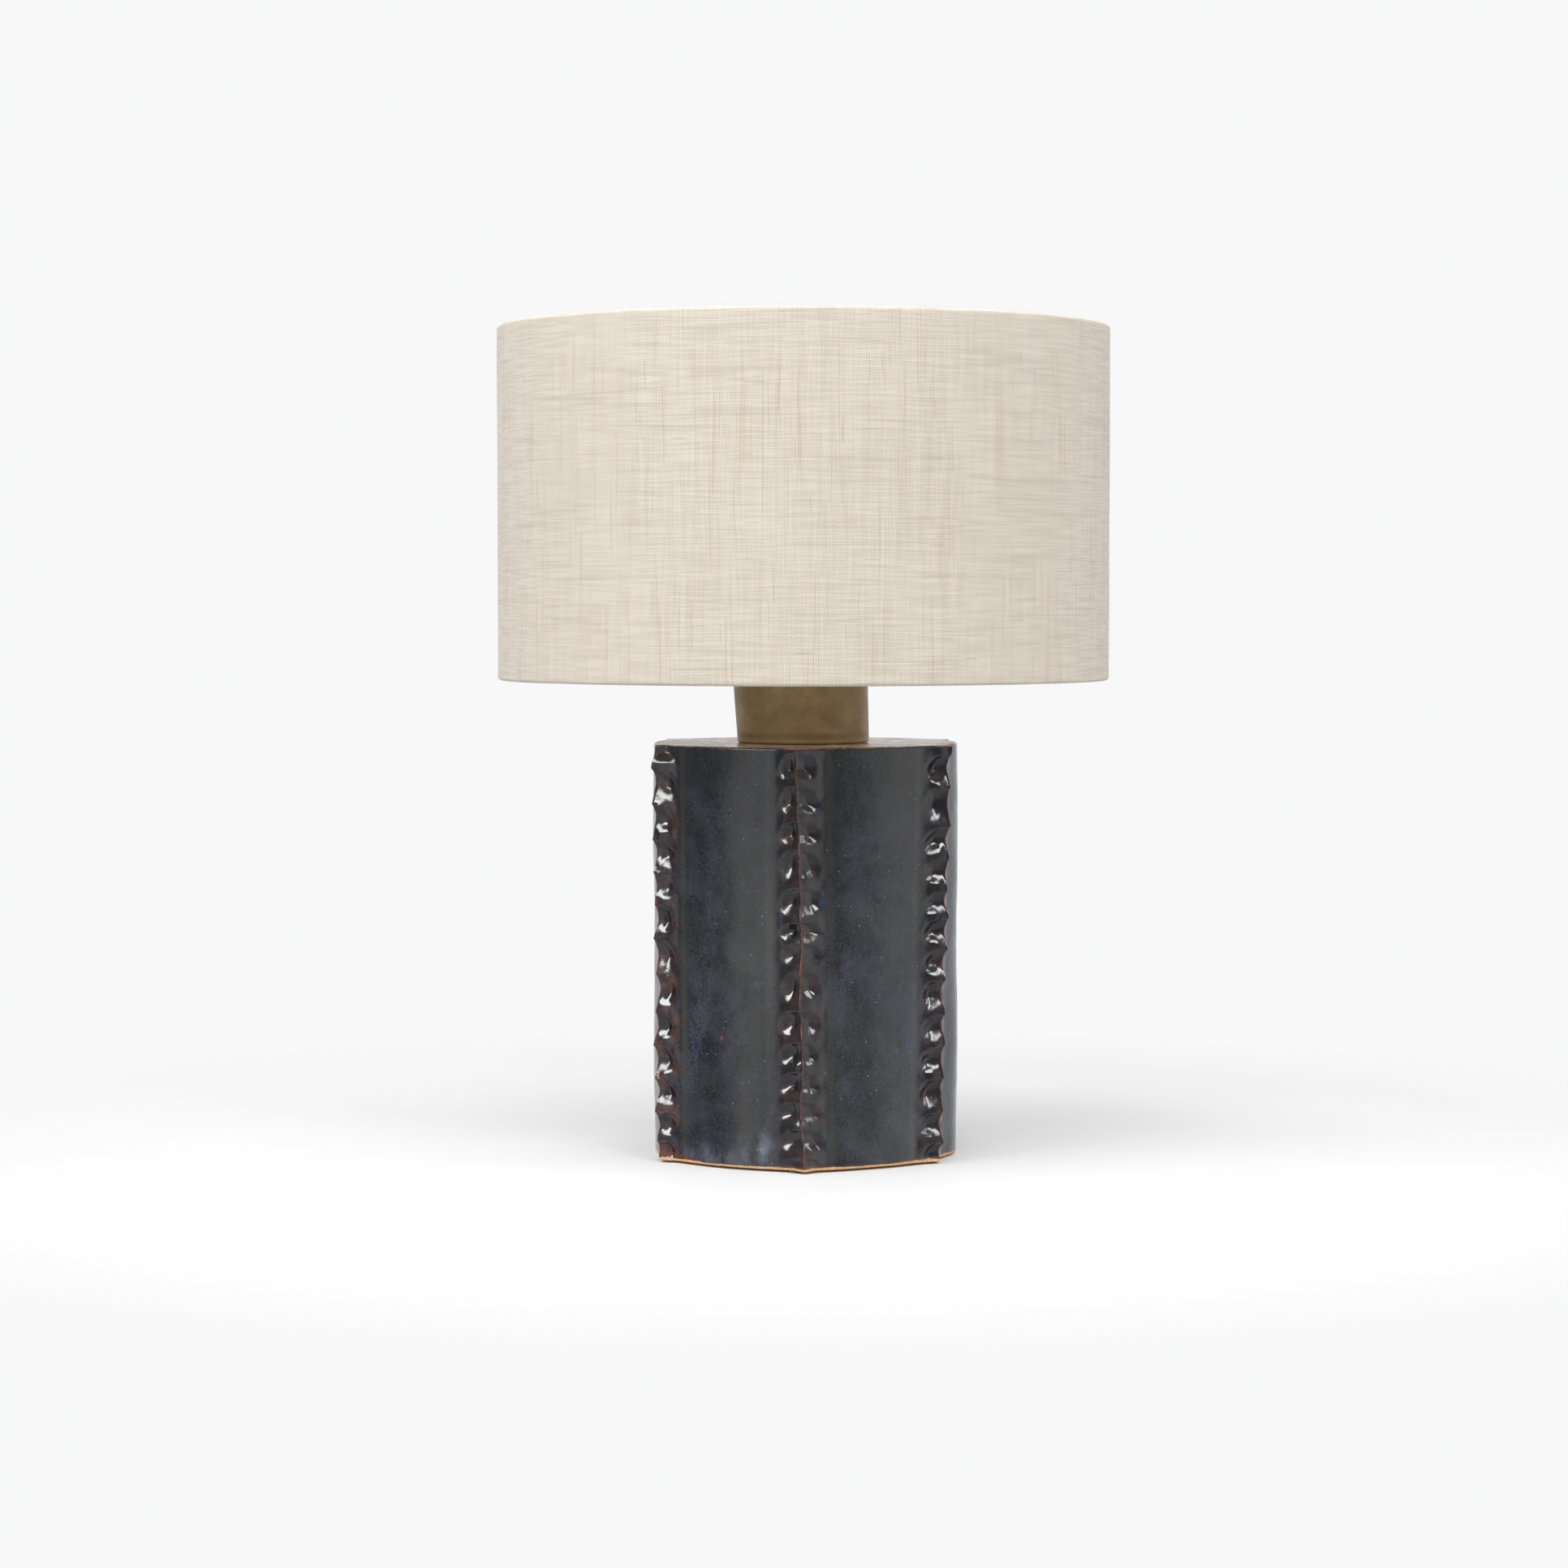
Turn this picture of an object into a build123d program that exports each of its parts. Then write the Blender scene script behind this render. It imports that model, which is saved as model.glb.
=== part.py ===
"""Table lamp: slab-built stoneware base with crimped corner ridges, ceramic neck and a linen drum shade.

Millimetres, +Z up. The origin is on the surface the lamp stands on, under the shade's axis.
The base is a hexagon with one corner to the front (-Y). The lamp stands on felt pads. The top
slab is set in flush between the six wall slabs and carries the neck, and a threaded tube clamps
the lampholder, the neck and the slab together.
"""

import os
from math import cos, radians, sin, sqrt

from build123d import *

# ---------------------------------------------------------------- driving dimensions
PAD_THICKNESS = 1.5
PAD_RADIUS = 4.0
PAD_RING_RADIUS = 99.0

SIDES = 6
WALL_HEIGHT = 268.5
WALL_THICKNESS = 7.0
PANEL_MID_RADIUS = 98.2  # lamp axis to the middle of a bowed slab
PANEL_BOW_RADIUS = 169.0
RIDGE_TIP_RADIUS = 111.0  # lamp axis to the crest of a ridge
RIDGE_TIP_HALF_WIDTH = 1.2
RIDGE_ROOT_RADIUS = 100.0
RIDGE_ROOT_HALF_WIDTH = 15.0
CRIMPS = 13
CRIMP_RADIUS = 14.0  # the fingertip that pressed each crimp
CRIMP_DEPTH = 3.7

SLAB_THICKNESS = 7.0
SLAB_HOLE_RADIUS = 6.0

NECK_HEIGHT = 46.0
NECK_FOOT_RADIUS = 43.0
NECK_TOP_RADIUS = 44.2
NECK_WALL = 6.0

OUTLET_HEIGHT = 22.0
OUTLET_BORE_RADIUS = 3.7
OUTLET_SLEEVE_RADIUS = 5.5
OUTLET_FLANGE_RADIUS = 8.5
OUTLET_FLANGE = 1.5
OUTLET_FLANGE_GAP = 0.4  # the panel is bowed, so a flat flange stands off it at its middle

TUBE_RADIUS = 5.0  # M10 x 1 all-thread tube
TUBE_BORE_RADIUS = 3.7
CLEARANCE = 0.05
NUT_ACROSS_FLATS = 14.0
LOWER_NUT_HEIGHT = 6.0
UPPER_NUT_HEIGHT = 3.0
WASHER_RADIUS = 10.0
WASHER_THICKNESS = 1.5
BAR_LENGTH = 64.0
BAR_WIDTH = 16.0
BAR_THICKNESS = 3.0
CAP_PLATE_RADIUS = 42.0
CAP_PLATE_THICKNESS = 2.0
CAP_PLATE_LIP = 5.0
CAP_PLATE_LIP_WALL = 1.2
CAP_PLATE_ROUNDING = 1.2

HOLDER_RADIUS = 19.5
HOLDER_CAP_HEIGHT = 23.0
HOLDER_BOSS_RADIUS = 8.5
HOLDER_BOSS_HEIGHT = 9.0
HOLDER_CAP_ROOF = 2.0
BOSS_SHOULDER_DROP = 3.0
GRUB_SCREW_RADIUS = 1.45
GRUB_HOLE_RADIUS = 1.5
GRUB_SCREW_LENGTH = 5.0
GRUB_SCREW_HEIGHT = 3.0  # above the holder's underside
SKIRT_HEIGHT = 34.0
SKIRT_WALL = 4.3
BLOCK_RADIUS = 15.0
BLOCK_HEIGHT = 13.0
BLOCK_GAP = 0.2  # contact block to the cap around it
TERMINAL_SLOT = (9.0, 5.0)
TERMINAL_SLOT_DEPTH = 6.0
TERMINAL_HEAD_RADIUS = 2.2
TERMINAL_SHANK_RADIUS = 1.3
TERMINAL_HEAD = 2.0
TERMINAL_SHANK = 5.0
DRIVER_SLOT_DEPTH = 0.8
CONTACT_THICKNESS = 0.6
CONTACT_WIDTH = 6.0
CONTACT_PLAY = 0.3  # below the bulb's tip
SIDE_CONTACT_WIDTH = 5.0
SIDE_CONTACT_HEIGHT = 9.0
SHELL_RADIUS = 14.1
SHELL_WALL = 0.5
SHADE_RING_RADIUS = 27.0
SHADE_RING_HEIGHT = 7.6
SHADE_RING_RIBS = 24
SHADE_RING_FLUTE = 1.6
RUNNING_GAP = 0.2

SWITCH_SHAFT_RADIUS = 1.6
SWITCH_KNOB_RADIUS = 6.5
SWITCH_KNOB_LENGTH = 11.0
SWITCH_KNOB_START = 24.0  # lamp axis to the knob's inner face
SWITCH_DROP = 8.5  # switch shaft below the holder cap's rim
SWITCH_SHAFT_GAP = 0.1
KNOB_COLLAR = 4.0  # round part of the knob, before its grip flats
KNOB_GRIP_THICKNESS = 6.0

BULB_RADIUS = 30.0
BULB_HEIGHT = 106.0
BULB_CAP_RADIUS = 13.2
BULB_NECK_RADIUS = 12.4
BULB_THREAD_PITCH = 3.63
BULB_TIP_RADIUS = 4.5
BULB_INSULATOR_RADIUS = 5.5
BULB_GLASS_SEAT = 6.0  # glass held inside the screw cap
BULB_NECK_LENGTH = 4.0  # straight glass above the cap
STEM_DISC = 1.2
STEM_RADIUS = 3.0
STEM_DROP = 8.0  # stem's top below the widest part of the glass
FILAMENT_RADIUS = 0.9
FILAMENT_LENGTH = 38.0
FILAMENT_CIRCLE = 8.0

SHADE_RADIUS = 200.0
SHADE_HEIGHT = 230.0
SHADE_GAP = 41.0  # top of the base to the shade's lower edge
FABRIC = 0.6
LINER = 0.6
WIRE_RADIUS = 1.5
HEM_RETURN = 10.0
ARMS = 3
ARM_RADIUS = 1.4
FITTER_BORE_RADIUS = 20.3
FITTER_RADIUS = 28.0
FITTER_THICKNESS = 1.6

# ---------------------------------------------------------------- heights that follow from them
WALL_BOTTOM = PAD_THICKNESS
WALL_TOP = WALL_BOTTOM + WALL_HEIGHT
SLAB_BOTTOM = WALL_TOP - SLAB_THICKNESS
NECK_TOP = WALL_TOP + NECK_HEIGHT
PLATE_TOP = NECK_TOP + CAP_PLATE_THICKNESS
HOLDER_BOTTOM = PLATE_TOP + UPPER_NUT_HEIGHT
CAP_RIM = HOLDER_BOTTOM + HOLDER_CAP_HEIGHT
SKIRT_TOP = CAP_RIM + SKIRT_HEIGHT
BLOCK_BOTTOM = CAP_RIM - 8.0
BLOCK_TOP = BLOCK_BOTTOM + BLOCK_HEIGHT
SHADE_BOTTOM = WALL_TOP + SHADE_GAP
SHADE_TOP = SHADE_BOTTOM + SHADE_HEIGHT
LOWER_RING_TOP = CAP_RIM + 7.0
FITTER_BOTTOM = LOWER_RING_TOP + RUNNING_GAP
FITTER_TOP = FITTER_BOTTOM + FITTER_THICKNESS
UPPER_RING_BOTTOM = FITTER_TOP + RUNNING_GAP
SWITCH_HEIGHT = CAP_RIM - SWITCH_DROP
TIP_BOTTOM = BLOCK_TOP + 2.6
TIP_HEIGHT = 1.5
INSULATOR_TOP = TIP_BOTTOM + 6.0
BULB_CAP_TOP = TIP_BOTTOM + 26.0
BULB_TOP = TIP_BOTTOM + BULB_HEIGHT

os.makedirs("parts", exist_ok=True)


def save(shape, name):
    """Labels one sub-part and writes it to its own STEP file."""
    shape.label = name
    export_step(shape, f"parts/{name}.step")


def polar(radius, degrees):
    """A point at that radius and angle about the lamp's axis."""
    return Vector(radius * cos(radians(degrees)), radius * sin(radians(degrees)))


def beside_corner(radius, offset, corner, side):
    """A point at a radius along the ray through a corner, and offset to one side (+1 or -1) of it."""
    along = polar(1, corner)
    across = Vector(-along.Y, along.X)
    return along * radius + across * (side * offset)


def slab_outside(normal):
    """The outer edge of one wall slab that faces that angle: half ridge, bow, half ridge."""
    step = 180 / SIDES
    first, last = normal - step, normal + step
    crest_a, crest_b = polar(RIDGE_TIP_RADIUS, first), polar(RIDGE_TIP_RADIUS, last)
    tip_a = beside_corner(RIDGE_TIP_RADIUS, RIDGE_TIP_HALF_WIDTH, first, 1)
    tip_b = beside_corner(RIDGE_TIP_RADIUS, RIDGE_TIP_HALF_WIDTH, last, -1)
    root_a = beside_corner(RIDGE_ROOT_RADIUS, RIDGE_ROOT_HALF_WIDTH, first, 1)
    root_b = beside_corner(RIDGE_ROOT_RADIUS, RIDGE_ROOT_HALF_WIDTH, last, -1)
    Line(crest_a, tip_a)
    Line(tip_a, root_a)
    ThreePointArc(root_a, polar(PANEL_MID_RADIUS, normal), root_b)
    Line(root_b, tip_b)
    Line(tip_b, crest_b)
    return crest_a, crest_b


def inner_corner_radius():
    """Lamp axis to the inner corner, where two slabs' inner faces meet."""
    bow_centre = PANEL_MID_RADIUS - PANEL_BOW_RADIUS
    inner_bow = PANEL_BOW_RADIUS - WALL_THICKNESS
    lean = -bow_centre * cos(radians(180 / SIDES))
    return -lean + sqrt(lean**2 - bow_centre**2 + inner_bow**2)


def crimp_planes(normal):
    """Planes that run down the flanks of a slab's two half ridges, one at each finger press."""
    pitch = WALL_HEIGHT / CRIMPS
    ridge_rise = RIDGE_TIP_RADIUS - RIDGE_ROOT_RADIUS
    flank = Vector(-ridge_rise, RIDGE_ROOT_HALF_WIDTH - RIDGE_TIP_HALF_WIDTH).normalized()
    rise = CRIMP_RADIUS - CRIMP_DEPTH
    for corner, side in ((normal - 180 / SIDES, 1), (normal + 180 / SIDES, -1)):
        radial, across = polar(1, corner), beside_corner(0, 1, corner, side)
        down_flank = radial * flank.X + across * flank.Y
        off_flank = radial * flank.Y - across * flank.X
        start = beside_corner(RIDGE_TIP_RADIUS, RIDGE_TIP_HALF_WIDTH, corner, side) + off_flank * rise
        for i in range(CRIMPS):
            height = Vector(0, 0, WALL_BOTTOM + pitch * (i + 0.5))
            yield Plane(origin=start + height, x_dir=(0, 0, 1), z_dir=down_flank)


# ---------------------------------------------------------------- felt pads
with BuildPart() as felt_pads:
    with BuildSketch():
        with PolarLocations(PAD_RING_RADIUS, SIDES, start_angle=-90):
            Circle(PAD_RADIUS)
    extrude(amount=PAD_THICKNESS)
save(felt_pads.part, "felt_pads")

# ---------------------------------------------------------------- wall slabs
FLANK_LENGTH = sqrt(
    (RIDGE_TIP_RADIUS - RIDGE_ROOT_RADIUS) ** 2 + (RIDGE_ROOT_HALF_WIDTH - RIDGE_TIP_HALF_WIDTH) ** 2
)
CRIMP_START = -8.0  # the press begins beyond the crest
CRIMP_END = FLANK_LENGTH - 4.0

with BuildPart() as wall_panel:
    with BuildSketch(Plane.XY.offset(WALL_BOTTOM)):
        with BuildLine():
            outer_a, outer_b = slab_outside(0)
            inner_a = polar(inner_corner_radius(), -180 / SIDES)
            inner_b = polar(inner_corner_radius(), 180 / SIDES)
            Line(outer_b, inner_b)
            ThreePointArc(inner_b, polar(PANEL_MID_RADIUS - WALL_THICKNESS, 0), inner_a)
            Line(inner_a, outer_a)
        make_face()
    extrude(amount=WALL_HEIGHT)
    for plane in crimp_planes(0):
        with Locations(plane.offset(CRIMP_START)):
            Cylinder(
                CRIMP_RADIUS,
                CRIMP_END - CRIMP_START,
                align=(Align.CENTER, Align.CENTER, Align.MIN),
                mode=Mode.SUBTRACT,
            )

OUTLET_NORMAL = 60  # the slab at the back right carries the cable outlet
PANELS = {
    "wall_panel_right": 0,
    "wall_panel_back_right": 60,
    "wall_panel_back_left": 120,
    "wall_panel_left": 180,
    "wall_panel_front_left": 240,
    "wall_panel_front_right": 300,
}
outlet_plane = Plane(
    origin=polar(PANEL_MID_RADIUS, OUTLET_NORMAL) + Vector(0, 0, OUTLET_HEIGHT),
    x_dir=(0, 0, 1),
    z_dir=polar(1, OUTLET_NORMAL),
)
for name, normal in PANELS.items():
    turned = wall_panel.part.rotate(Axis.Z, normal)
    with BuildPart() as panel:
        add(turned)
        if normal == OUTLET_NORMAL:
            with Locations(outlet_plane):
                Cylinder(OUTLET_SLEEVE_RADIUS, 4 * WALL_THICKNESS, mode=Mode.SUBTRACT)
    save(panel.part, name)

# ---------------------------------------------------------------- cable outlet
with BuildPart() as cable_grommet:
    with BuildSketch(outlet_plane.offset(-WALL_THICKNESS - OUTLET_FLANGE_GAP)):
        Circle(OUTLET_SLEEVE_RADIUS)
    extrude(amount=WALL_THICKNESS + 2 * OUTLET_FLANGE_GAP)
    with BuildSketch(outlet_plane.offset(OUTLET_FLANGE_GAP)):
        Circle(OUTLET_FLANGE_RADIUS)
    extrude(amount=OUTLET_FLANGE)
    with BuildSketch(outlet_plane.offset(-WALL_THICKNESS - OUTLET_FLANGE_GAP)):
        Circle(OUTLET_FLANGE_RADIUS)
    extrude(amount=-OUTLET_FLANGE)
    with Locations(outlet_plane):
        Hole(OUTLET_BORE_RADIUS)
save(cable_grommet.part, "cable_grommet")

# ---------------------------------------------------------------- top slab and neck
with BuildPart() as top_slab:
    with BuildSketch(Plane.XY.offset(SLAB_BOTTOM)):
        with BuildLine():
            for side in range(SIDES):
                normal = side * 360 / SIDES
                ThreePointArc(
                    polar(inner_corner_radius(), normal - 180 / SIDES),
                    polar(PANEL_MID_RADIUS - WALL_THICKNESS, normal),
                    polar(inner_corner_radius(), normal + 180 / SIDES),
                )
        make_face()
        Circle(SLAB_HOLE_RADIUS, mode=Mode.SUBTRACT)
    extrude(amount=SLAB_THICKNESS)
save(top_slab.part, "top_slab")

with BuildPart() as neck_collar:
    with BuildSketch(Plane.XZ):
        with BuildLine():
            Polyline(
                (NECK_FOOT_RADIUS - NECK_WALL, WALL_TOP),
                (NECK_FOOT_RADIUS, WALL_TOP),
                (NECK_TOP_RADIUS, NECK_TOP),
                (NECK_TOP_RADIUS - NECK_WALL, NECK_TOP),
                close=True,
            )
        make_face()
    revolve(axis=Axis.Z)
    fillet(neck_collar.edges().filter_by(GeomType.CIRCLE).group_by(Axis.Z)[-1], 2.0)
save(neck_collar.part, "neck_collar")

# ---------------------------------------------------------------- clamp under the top slab
BAR_BOTTOM = SLAB_BOTTOM - BAR_THICKNESS
with BuildPart() as cross_bar:
    with BuildSketch(Plane.XY.offset(BAR_BOTTOM)):
        SlotOverall(BAR_LENGTH, BAR_WIDTH)
        Circle(TUBE_RADIUS + CLEARANCE, mode=Mode.SUBTRACT)
    extrude(amount=BAR_THICKNESS)
save(cross_bar.part, "cross_bar")

WASHER_BOTTOM = BAR_BOTTOM - WASHER_THICKNESS
with BuildPart() as lower_washer:
    with BuildSketch(Plane.XY.offset(WASHER_BOTTOM)):
        Circle(WASHER_RADIUS)
        Circle(TUBE_RADIUS + CLEARANCE, mode=Mode.SUBTRACT)
    extrude(amount=WASHER_THICKNESS)
save(lower_washer.part, "lower_washer")


def hex_nut(bottom, height):
    """A hexagon nut on the threaded tube."""
    with BuildPart() as nut:
        with BuildSketch(Plane.XY.offset(bottom)):
            RegularPolygon(NUT_ACROSS_FLATS / 2, 6, major_radius=False)
            Circle(TUBE_RADIUS + CLEARANCE, mode=Mode.SUBTRACT)
        extrude(amount=height)
    return nut.part


LOWER_NUT_BOTTOM = WASHER_BOTTOM - LOWER_NUT_HEIGHT
save(hex_nut(LOWER_NUT_BOTTOM, LOWER_NUT_HEIGHT), "lower_nut")
save(hex_nut(PLATE_TOP, UPPER_NUT_HEIGHT), "upper_nut")

TUBE_BOTTOM = LOWER_NUT_BOTTOM - 12.0
TUBE_TOP = HOLDER_BOTTOM + HOLDER_BOSS_HEIGHT
with BuildPart() as lamp_tube:
    with BuildSketch(Plane.XY.offset(TUBE_BOTTOM)):
        Circle(TUBE_RADIUS)
        Circle(TUBE_BORE_RADIUS, mode=Mode.SUBTRACT)
    extrude(amount=TUBE_TOP - TUBE_BOTTOM)
save(lamp_tube.part, "lamp_tube")

# ---------------------------------------------------------------- plate that closes the neck
LIP_RADIUS = NECK_FOOT_RADIUS - NECK_WALL - 1.0
with BuildPart() as cap_plate:
    with BuildSketch(Plane.XY.offset(NECK_TOP)):
        Circle(CAP_PLATE_RADIUS)
    extrude(amount=CAP_PLATE_THICKNESS)
    fillet(cap_plate.edges().group_by(Axis.Z)[-1], CAP_PLATE_ROUNDING)
    with BuildSketch(Plane.XY.offset(NECK_TOP)):
        Circle(LIP_RADIUS)
        Circle(LIP_RADIUS - CAP_PLATE_LIP_WALL, mode=Mode.SUBTRACT)
    extrude(amount=-CAP_PLATE_LIP)
    with Locations((0, 0, NECK_TOP)):
        Hole(TUBE_RADIUS + CLEARANCE)
save(cap_plate.part, "cap_plate")

# ---------------------------------------------------------------- lampholder
with BuildPart() as holder_cap:
    with BuildSketch(Plane.XZ):
        with BuildLine():
            boss_top = HOLDER_BOTTOM + HOLDER_BOSS_HEIGHT
            shoulder = boss_top - HOLDER_CAP_ROOF
            bend = shoulder - BOSS_SHOULDER_DROP
            roof = boss_top + 0.5
            waist = (HOLDER_BOSS_RADIUS + 6.5, shoulder + 1.5)
            Line((TUBE_RADIUS + CLEARANCE, HOLDER_BOTTOM), (HOLDER_BOSS_RADIUS, HOLDER_BOTTOM))
            Line((HOLDER_BOSS_RADIUS, HOLDER_BOTTOM), (HOLDER_BOSS_RADIUS, bend))
            Spline(
                (HOLDER_BOSS_RADIUS, bend),
                waist,
                (HOLDER_RADIUS, BLOCK_BOTTOM),
                tangents=((0, 1), (0, 1)),
            )
            Polyline(
                (HOLDER_RADIUS, BLOCK_BOTTOM),
                (HOLDER_RADIUS, CAP_RIM),
                (BLOCK_RADIUS + BLOCK_GAP, CAP_RIM),
                (BLOCK_RADIUS + BLOCK_GAP, BLOCK_BOTTOM),
                (BLOCK_RADIUS - 2, BLOCK_BOTTOM),
                (TUBE_RADIUS + 3, roof),
                (TUBE_RADIUS + CLEARANCE, roof),
                (TUBE_RADIUS + CLEARANCE, HOLDER_BOTTOM),
            )
        make_face()
    revolve(axis=Axis.Z)
    with Locations(Plane(origin=(0, 0, SWITCH_HEIGHT), z_dir=(1, 0, 0))):
        Cylinder(
            SWITCH_SHAFT_RADIUS + SWITCH_SHAFT_GAP,
            SWITCH_KNOB_START,
            align=(Align.CENTER, Align.CENTER, Align.MIN),
            mode=Mode.SUBTRACT,
        )
    with Locations(Plane(origin=(0, 0, HOLDER_BOTTOM + GRUB_SCREW_HEIGHT), z_dir=(0, 1, 0))):
        Cylinder(
            GRUB_HOLE_RADIUS,
            HOLDER_RADIUS,
            align=(Align.CENTER, Align.CENTER, Align.MIN),
            mode=Mode.SUBTRACT,
        )
save(holder_cap.part, "holder_cap")

grub_plane = Plane(origin=(0, TUBE_RADIUS + 0.1, HOLDER_BOTTOM + GRUB_SCREW_HEIGHT), z_dir=(0, 1, 0))
with BuildPart() as grub_screw:
    with BuildSketch(grub_plane):
        Circle(GRUB_SCREW_RADIUS)
    extrude(amount=GRUB_SCREW_LENGTH)
    with BuildSketch(grub_plane.offset(GRUB_SCREW_LENGTH)):
        Rectangle(0.5, 2 * GRUB_HOLE_RADIUS)
    extrude(amount=-DRIVER_SLOT_DEPTH, mode=Mode.SUBTRACT)
save(grub_screw.part, "grub_screw")

TERMINAL_OFFSET = 9.0
with BuildPart() as contact_block:
    with BuildSketch(Plane.XY.offset(BLOCK_BOTTOM)):
        Circle(BLOCK_RADIUS)
    extrude(amount=BLOCK_HEIGHT)
    with BuildSketch(Plane.XY.offset(BLOCK_BOTTOM)):
        with Locations((0, TERMINAL_OFFSET), (0, -TERMINAL_OFFSET)):
            Rectangle(*TERMINAL_SLOT)
    extrude(amount=TERMINAL_SLOT_DEPTH, mode=Mode.SUBTRACT)
    with Locations(Plane(origin=(0, 0, SWITCH_HEIGHT), z_dir=(1, 0, 0))):
        Cylinder(
            SWITCH_SHAFT_RADIUS + SWITCH_SHAFT_GAP,
            BLOCK_RADIUS + 1,
            align=(Align.CENTER, Align.CENTER, Align.MIN),
            mode=Mode.SUBTRACT,
        )
    chamfer(contact_block.edges().group_by(Axis.Z)[-1], 0.8)
save(contact_block.part, "contact_block")

with BuildPart() as terminal_screws:
    screw_foot = Plane.XY.offset(BLOCK_BOTTOM - TERMINAL_HEAD / 2)
    with BuildSketch(screw_foot):
        with Locations((0, TERMINAL_OFFSET), (0, -TERMINAL_OFFSET)):
            Circle(TERMINAL_HEAD_RADIUS)
    extrude(amount=TERMINAL_HEAD)
    with BuildSketch(screw_foot.offset(TERMINAL_HEAD)):
        with Locations((0, TERMINAL_OFFSET), (0, -TERMINAL_OFFSET)):
            Circle(TERMINAL_SHANK_RADIUS)
    extrude(amount=TERMINAL_SHANK)
    with BuildSketch(screw_foot):
        with Locations((0, TERMINAL_OFFSET), (0, -TERMINAL_OFFSET)):
            Rectangle(TERMINAL_SLOT[1], 0.6)
    extrude(amount=DRIVER_SLOT_DEPTH, mode=Mode.SUBTRACT)
save(terminal_screws.part, "terminal_screws")

with BuildPart() as centre_contact:
    leaf_top = TIP_BOTTOM - CONTACT_PLAY
    leaf_bottom = leaf_top - CONTACT_THICKNESS
    with BuildSketch(Plane.XZ.offset(-CONTACT_WIDTH / 2)):
        with BuildLine():
            Polyline(
                (-8, BLOCK_TOP),
                (-3, BLOCK_TOP),
                (3, leaf_bottom),
                (7, leaf_bottom),
                (7, leaf_top),
                (2.8, leaf_top),
                (-3.2, BLOCK_TOP + CONTACT_THICKNESS),
                (-8, BLOCK_TOP + CONTACT_THICKNESS),
                close=True,
            )
        make_face()
    extrude(amount=CONTACT_WIDTH)
save(centre_contact.part, "centre_contact")

with BuildPart() as screw_shell:
    with BuildSketch(Plane.XY.offset(BLOCK_TOP)):
        Circle(SHELL_RADIUS)
        Circle(SHELL_RADIUS - SHELL_WALL, mode=Mode.SUBTRACT)
    extrude(amount=SKIRT_TOP - 2 - BLOCK_TOP)
save(screw_shell.part, "screw_shell")

with BuildPart() as side_contact:
    with BuildSketch(Plane.XY.offset(BLOCK_TOP)):
        with Locations((SHELL_RADIUS + CLEARANCE + CONTACT_THICKNESS / 2, 0)):
            Rectangle(CONTACT_THICKNESS, SIDE_CONTACT_WIDTH)
    extrude(amount=SIDE_CONTACT_HEIGHT)
    fillet(side_contact.edges().filter_by(Axis.X).group_by(Axis.Z)[-1], 1.5)
save(side_contact.part, "side_contact")

THREAD_PITCH = 2.5
THREAD_DEPTH = 0.6
with BuildPart() as holder_skirt:
    with BuildSketch(Plane.XY.offset(CAP_RIM)):
        Circle(HOLDER_RADIUS)
        Circle(HOLDER_RADIUS - SKIRT_WALL, mode=Mode.SUBTRACT)
    extrude(amount=SKIRT_HEIGHT)
    groove = CAP_RIM + 1.5
    while groove < SKIRT_TOP - 2:
        with BuildSketch(Plane.XZ):
            with Locations((HOLDER_RADIUS, groove)):
                Polygon((0.1, -0.9), (0.1, 0.9), (-THREAD_DEPTH, 0), align=None)
        revolve(axis=Axis.Z, mode=Mode.SUBTRACT)
        groove += THREAD_PITCH
save(holder_skirt.part, "holder_skirt")


def shade_ring(bottom):
    """One of the two ribbed rings that grip the shade's fitter on the holder's thread."""
    with BuildPart() as ring:
        with BuildSketch(Plane.XY.offset(bottom)):
            Circle(SHADE_RING_RADIUS)
            with PolarLocations(SHADE_RING_RADIUS + 0.7, SHADE_RING_RIBS):
                Circle(SHADE_RING_FLUTE, mode=Mode.SUBTRACT)
            Circle(HOLDER_RADIUS + RUNNING_GAP, mode=Mode.SUBTRACT)
        extrude(amount=SHADE_RING_HEIGHT)
    return ring.part


save(shade_ring(LOWER_RING_TOP - SHADE_RING_HEIGHT), "lower_shade_ring")
save(shade_ring(UPPER_RING_BOTTOM), "upper_shade_ring")

# ---------------------------------------------------------------- rotary switch on the holder
knob_plane = Plane(origin=(SWITCH_KNOB_START, 0, SWITCH_HEIGHT), x_dir=(0, 0, 1), z_dir=(1, 0, 0))
SHAFT_START = 4.0
SHAFT_IN_KNOB = 6.0
with BuildPart() as switch_shaft:
    with BuildSketch(knob_plane.offset(SHAFT_START - SWITCH_KNOB_START)):
        Circle(SWITCH_SHAFT_RADIUS)
    extrude(amount=SWITCH_KNOB_START - SHAFT_START + SHAFT_IN_KNOB)
save(switch_shaft.part, "switch_shaft")

with BuildPart() as switch_knob:
    with BuildSketch(knob_plane):
        Circle(SWITCH_KNOB_RADIUS)
    extrude(amount=SWITCH_KNOB_LENGTH, taper=3)
    fillet(switch_knob.edges().group_by(Axis.X)[-1], 1.2)
    with BuildSketch(knob_plane.offset(KNOB_COLLAR)):
        flat = 5.0
        flat_middle = (KNOB_GRIP_THICKNESS + flat) / 2
        with Locations((0, flat_middle), (0, -flat_middle)):
            Rectangle(16, flat)
    extrude(amount=SWITCH_KNOB_LENGTH, mode=Mode.SUBTRACT)
    with BuildSketch(knob_plane):
        Circle(SWITCH_SHAFT_RADIUS)
    extrude(amount=SHAFT_IN_KNOB, mode=Mode.SUBTRACT)
save(switch_knob.part, "switch_knob")

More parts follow.
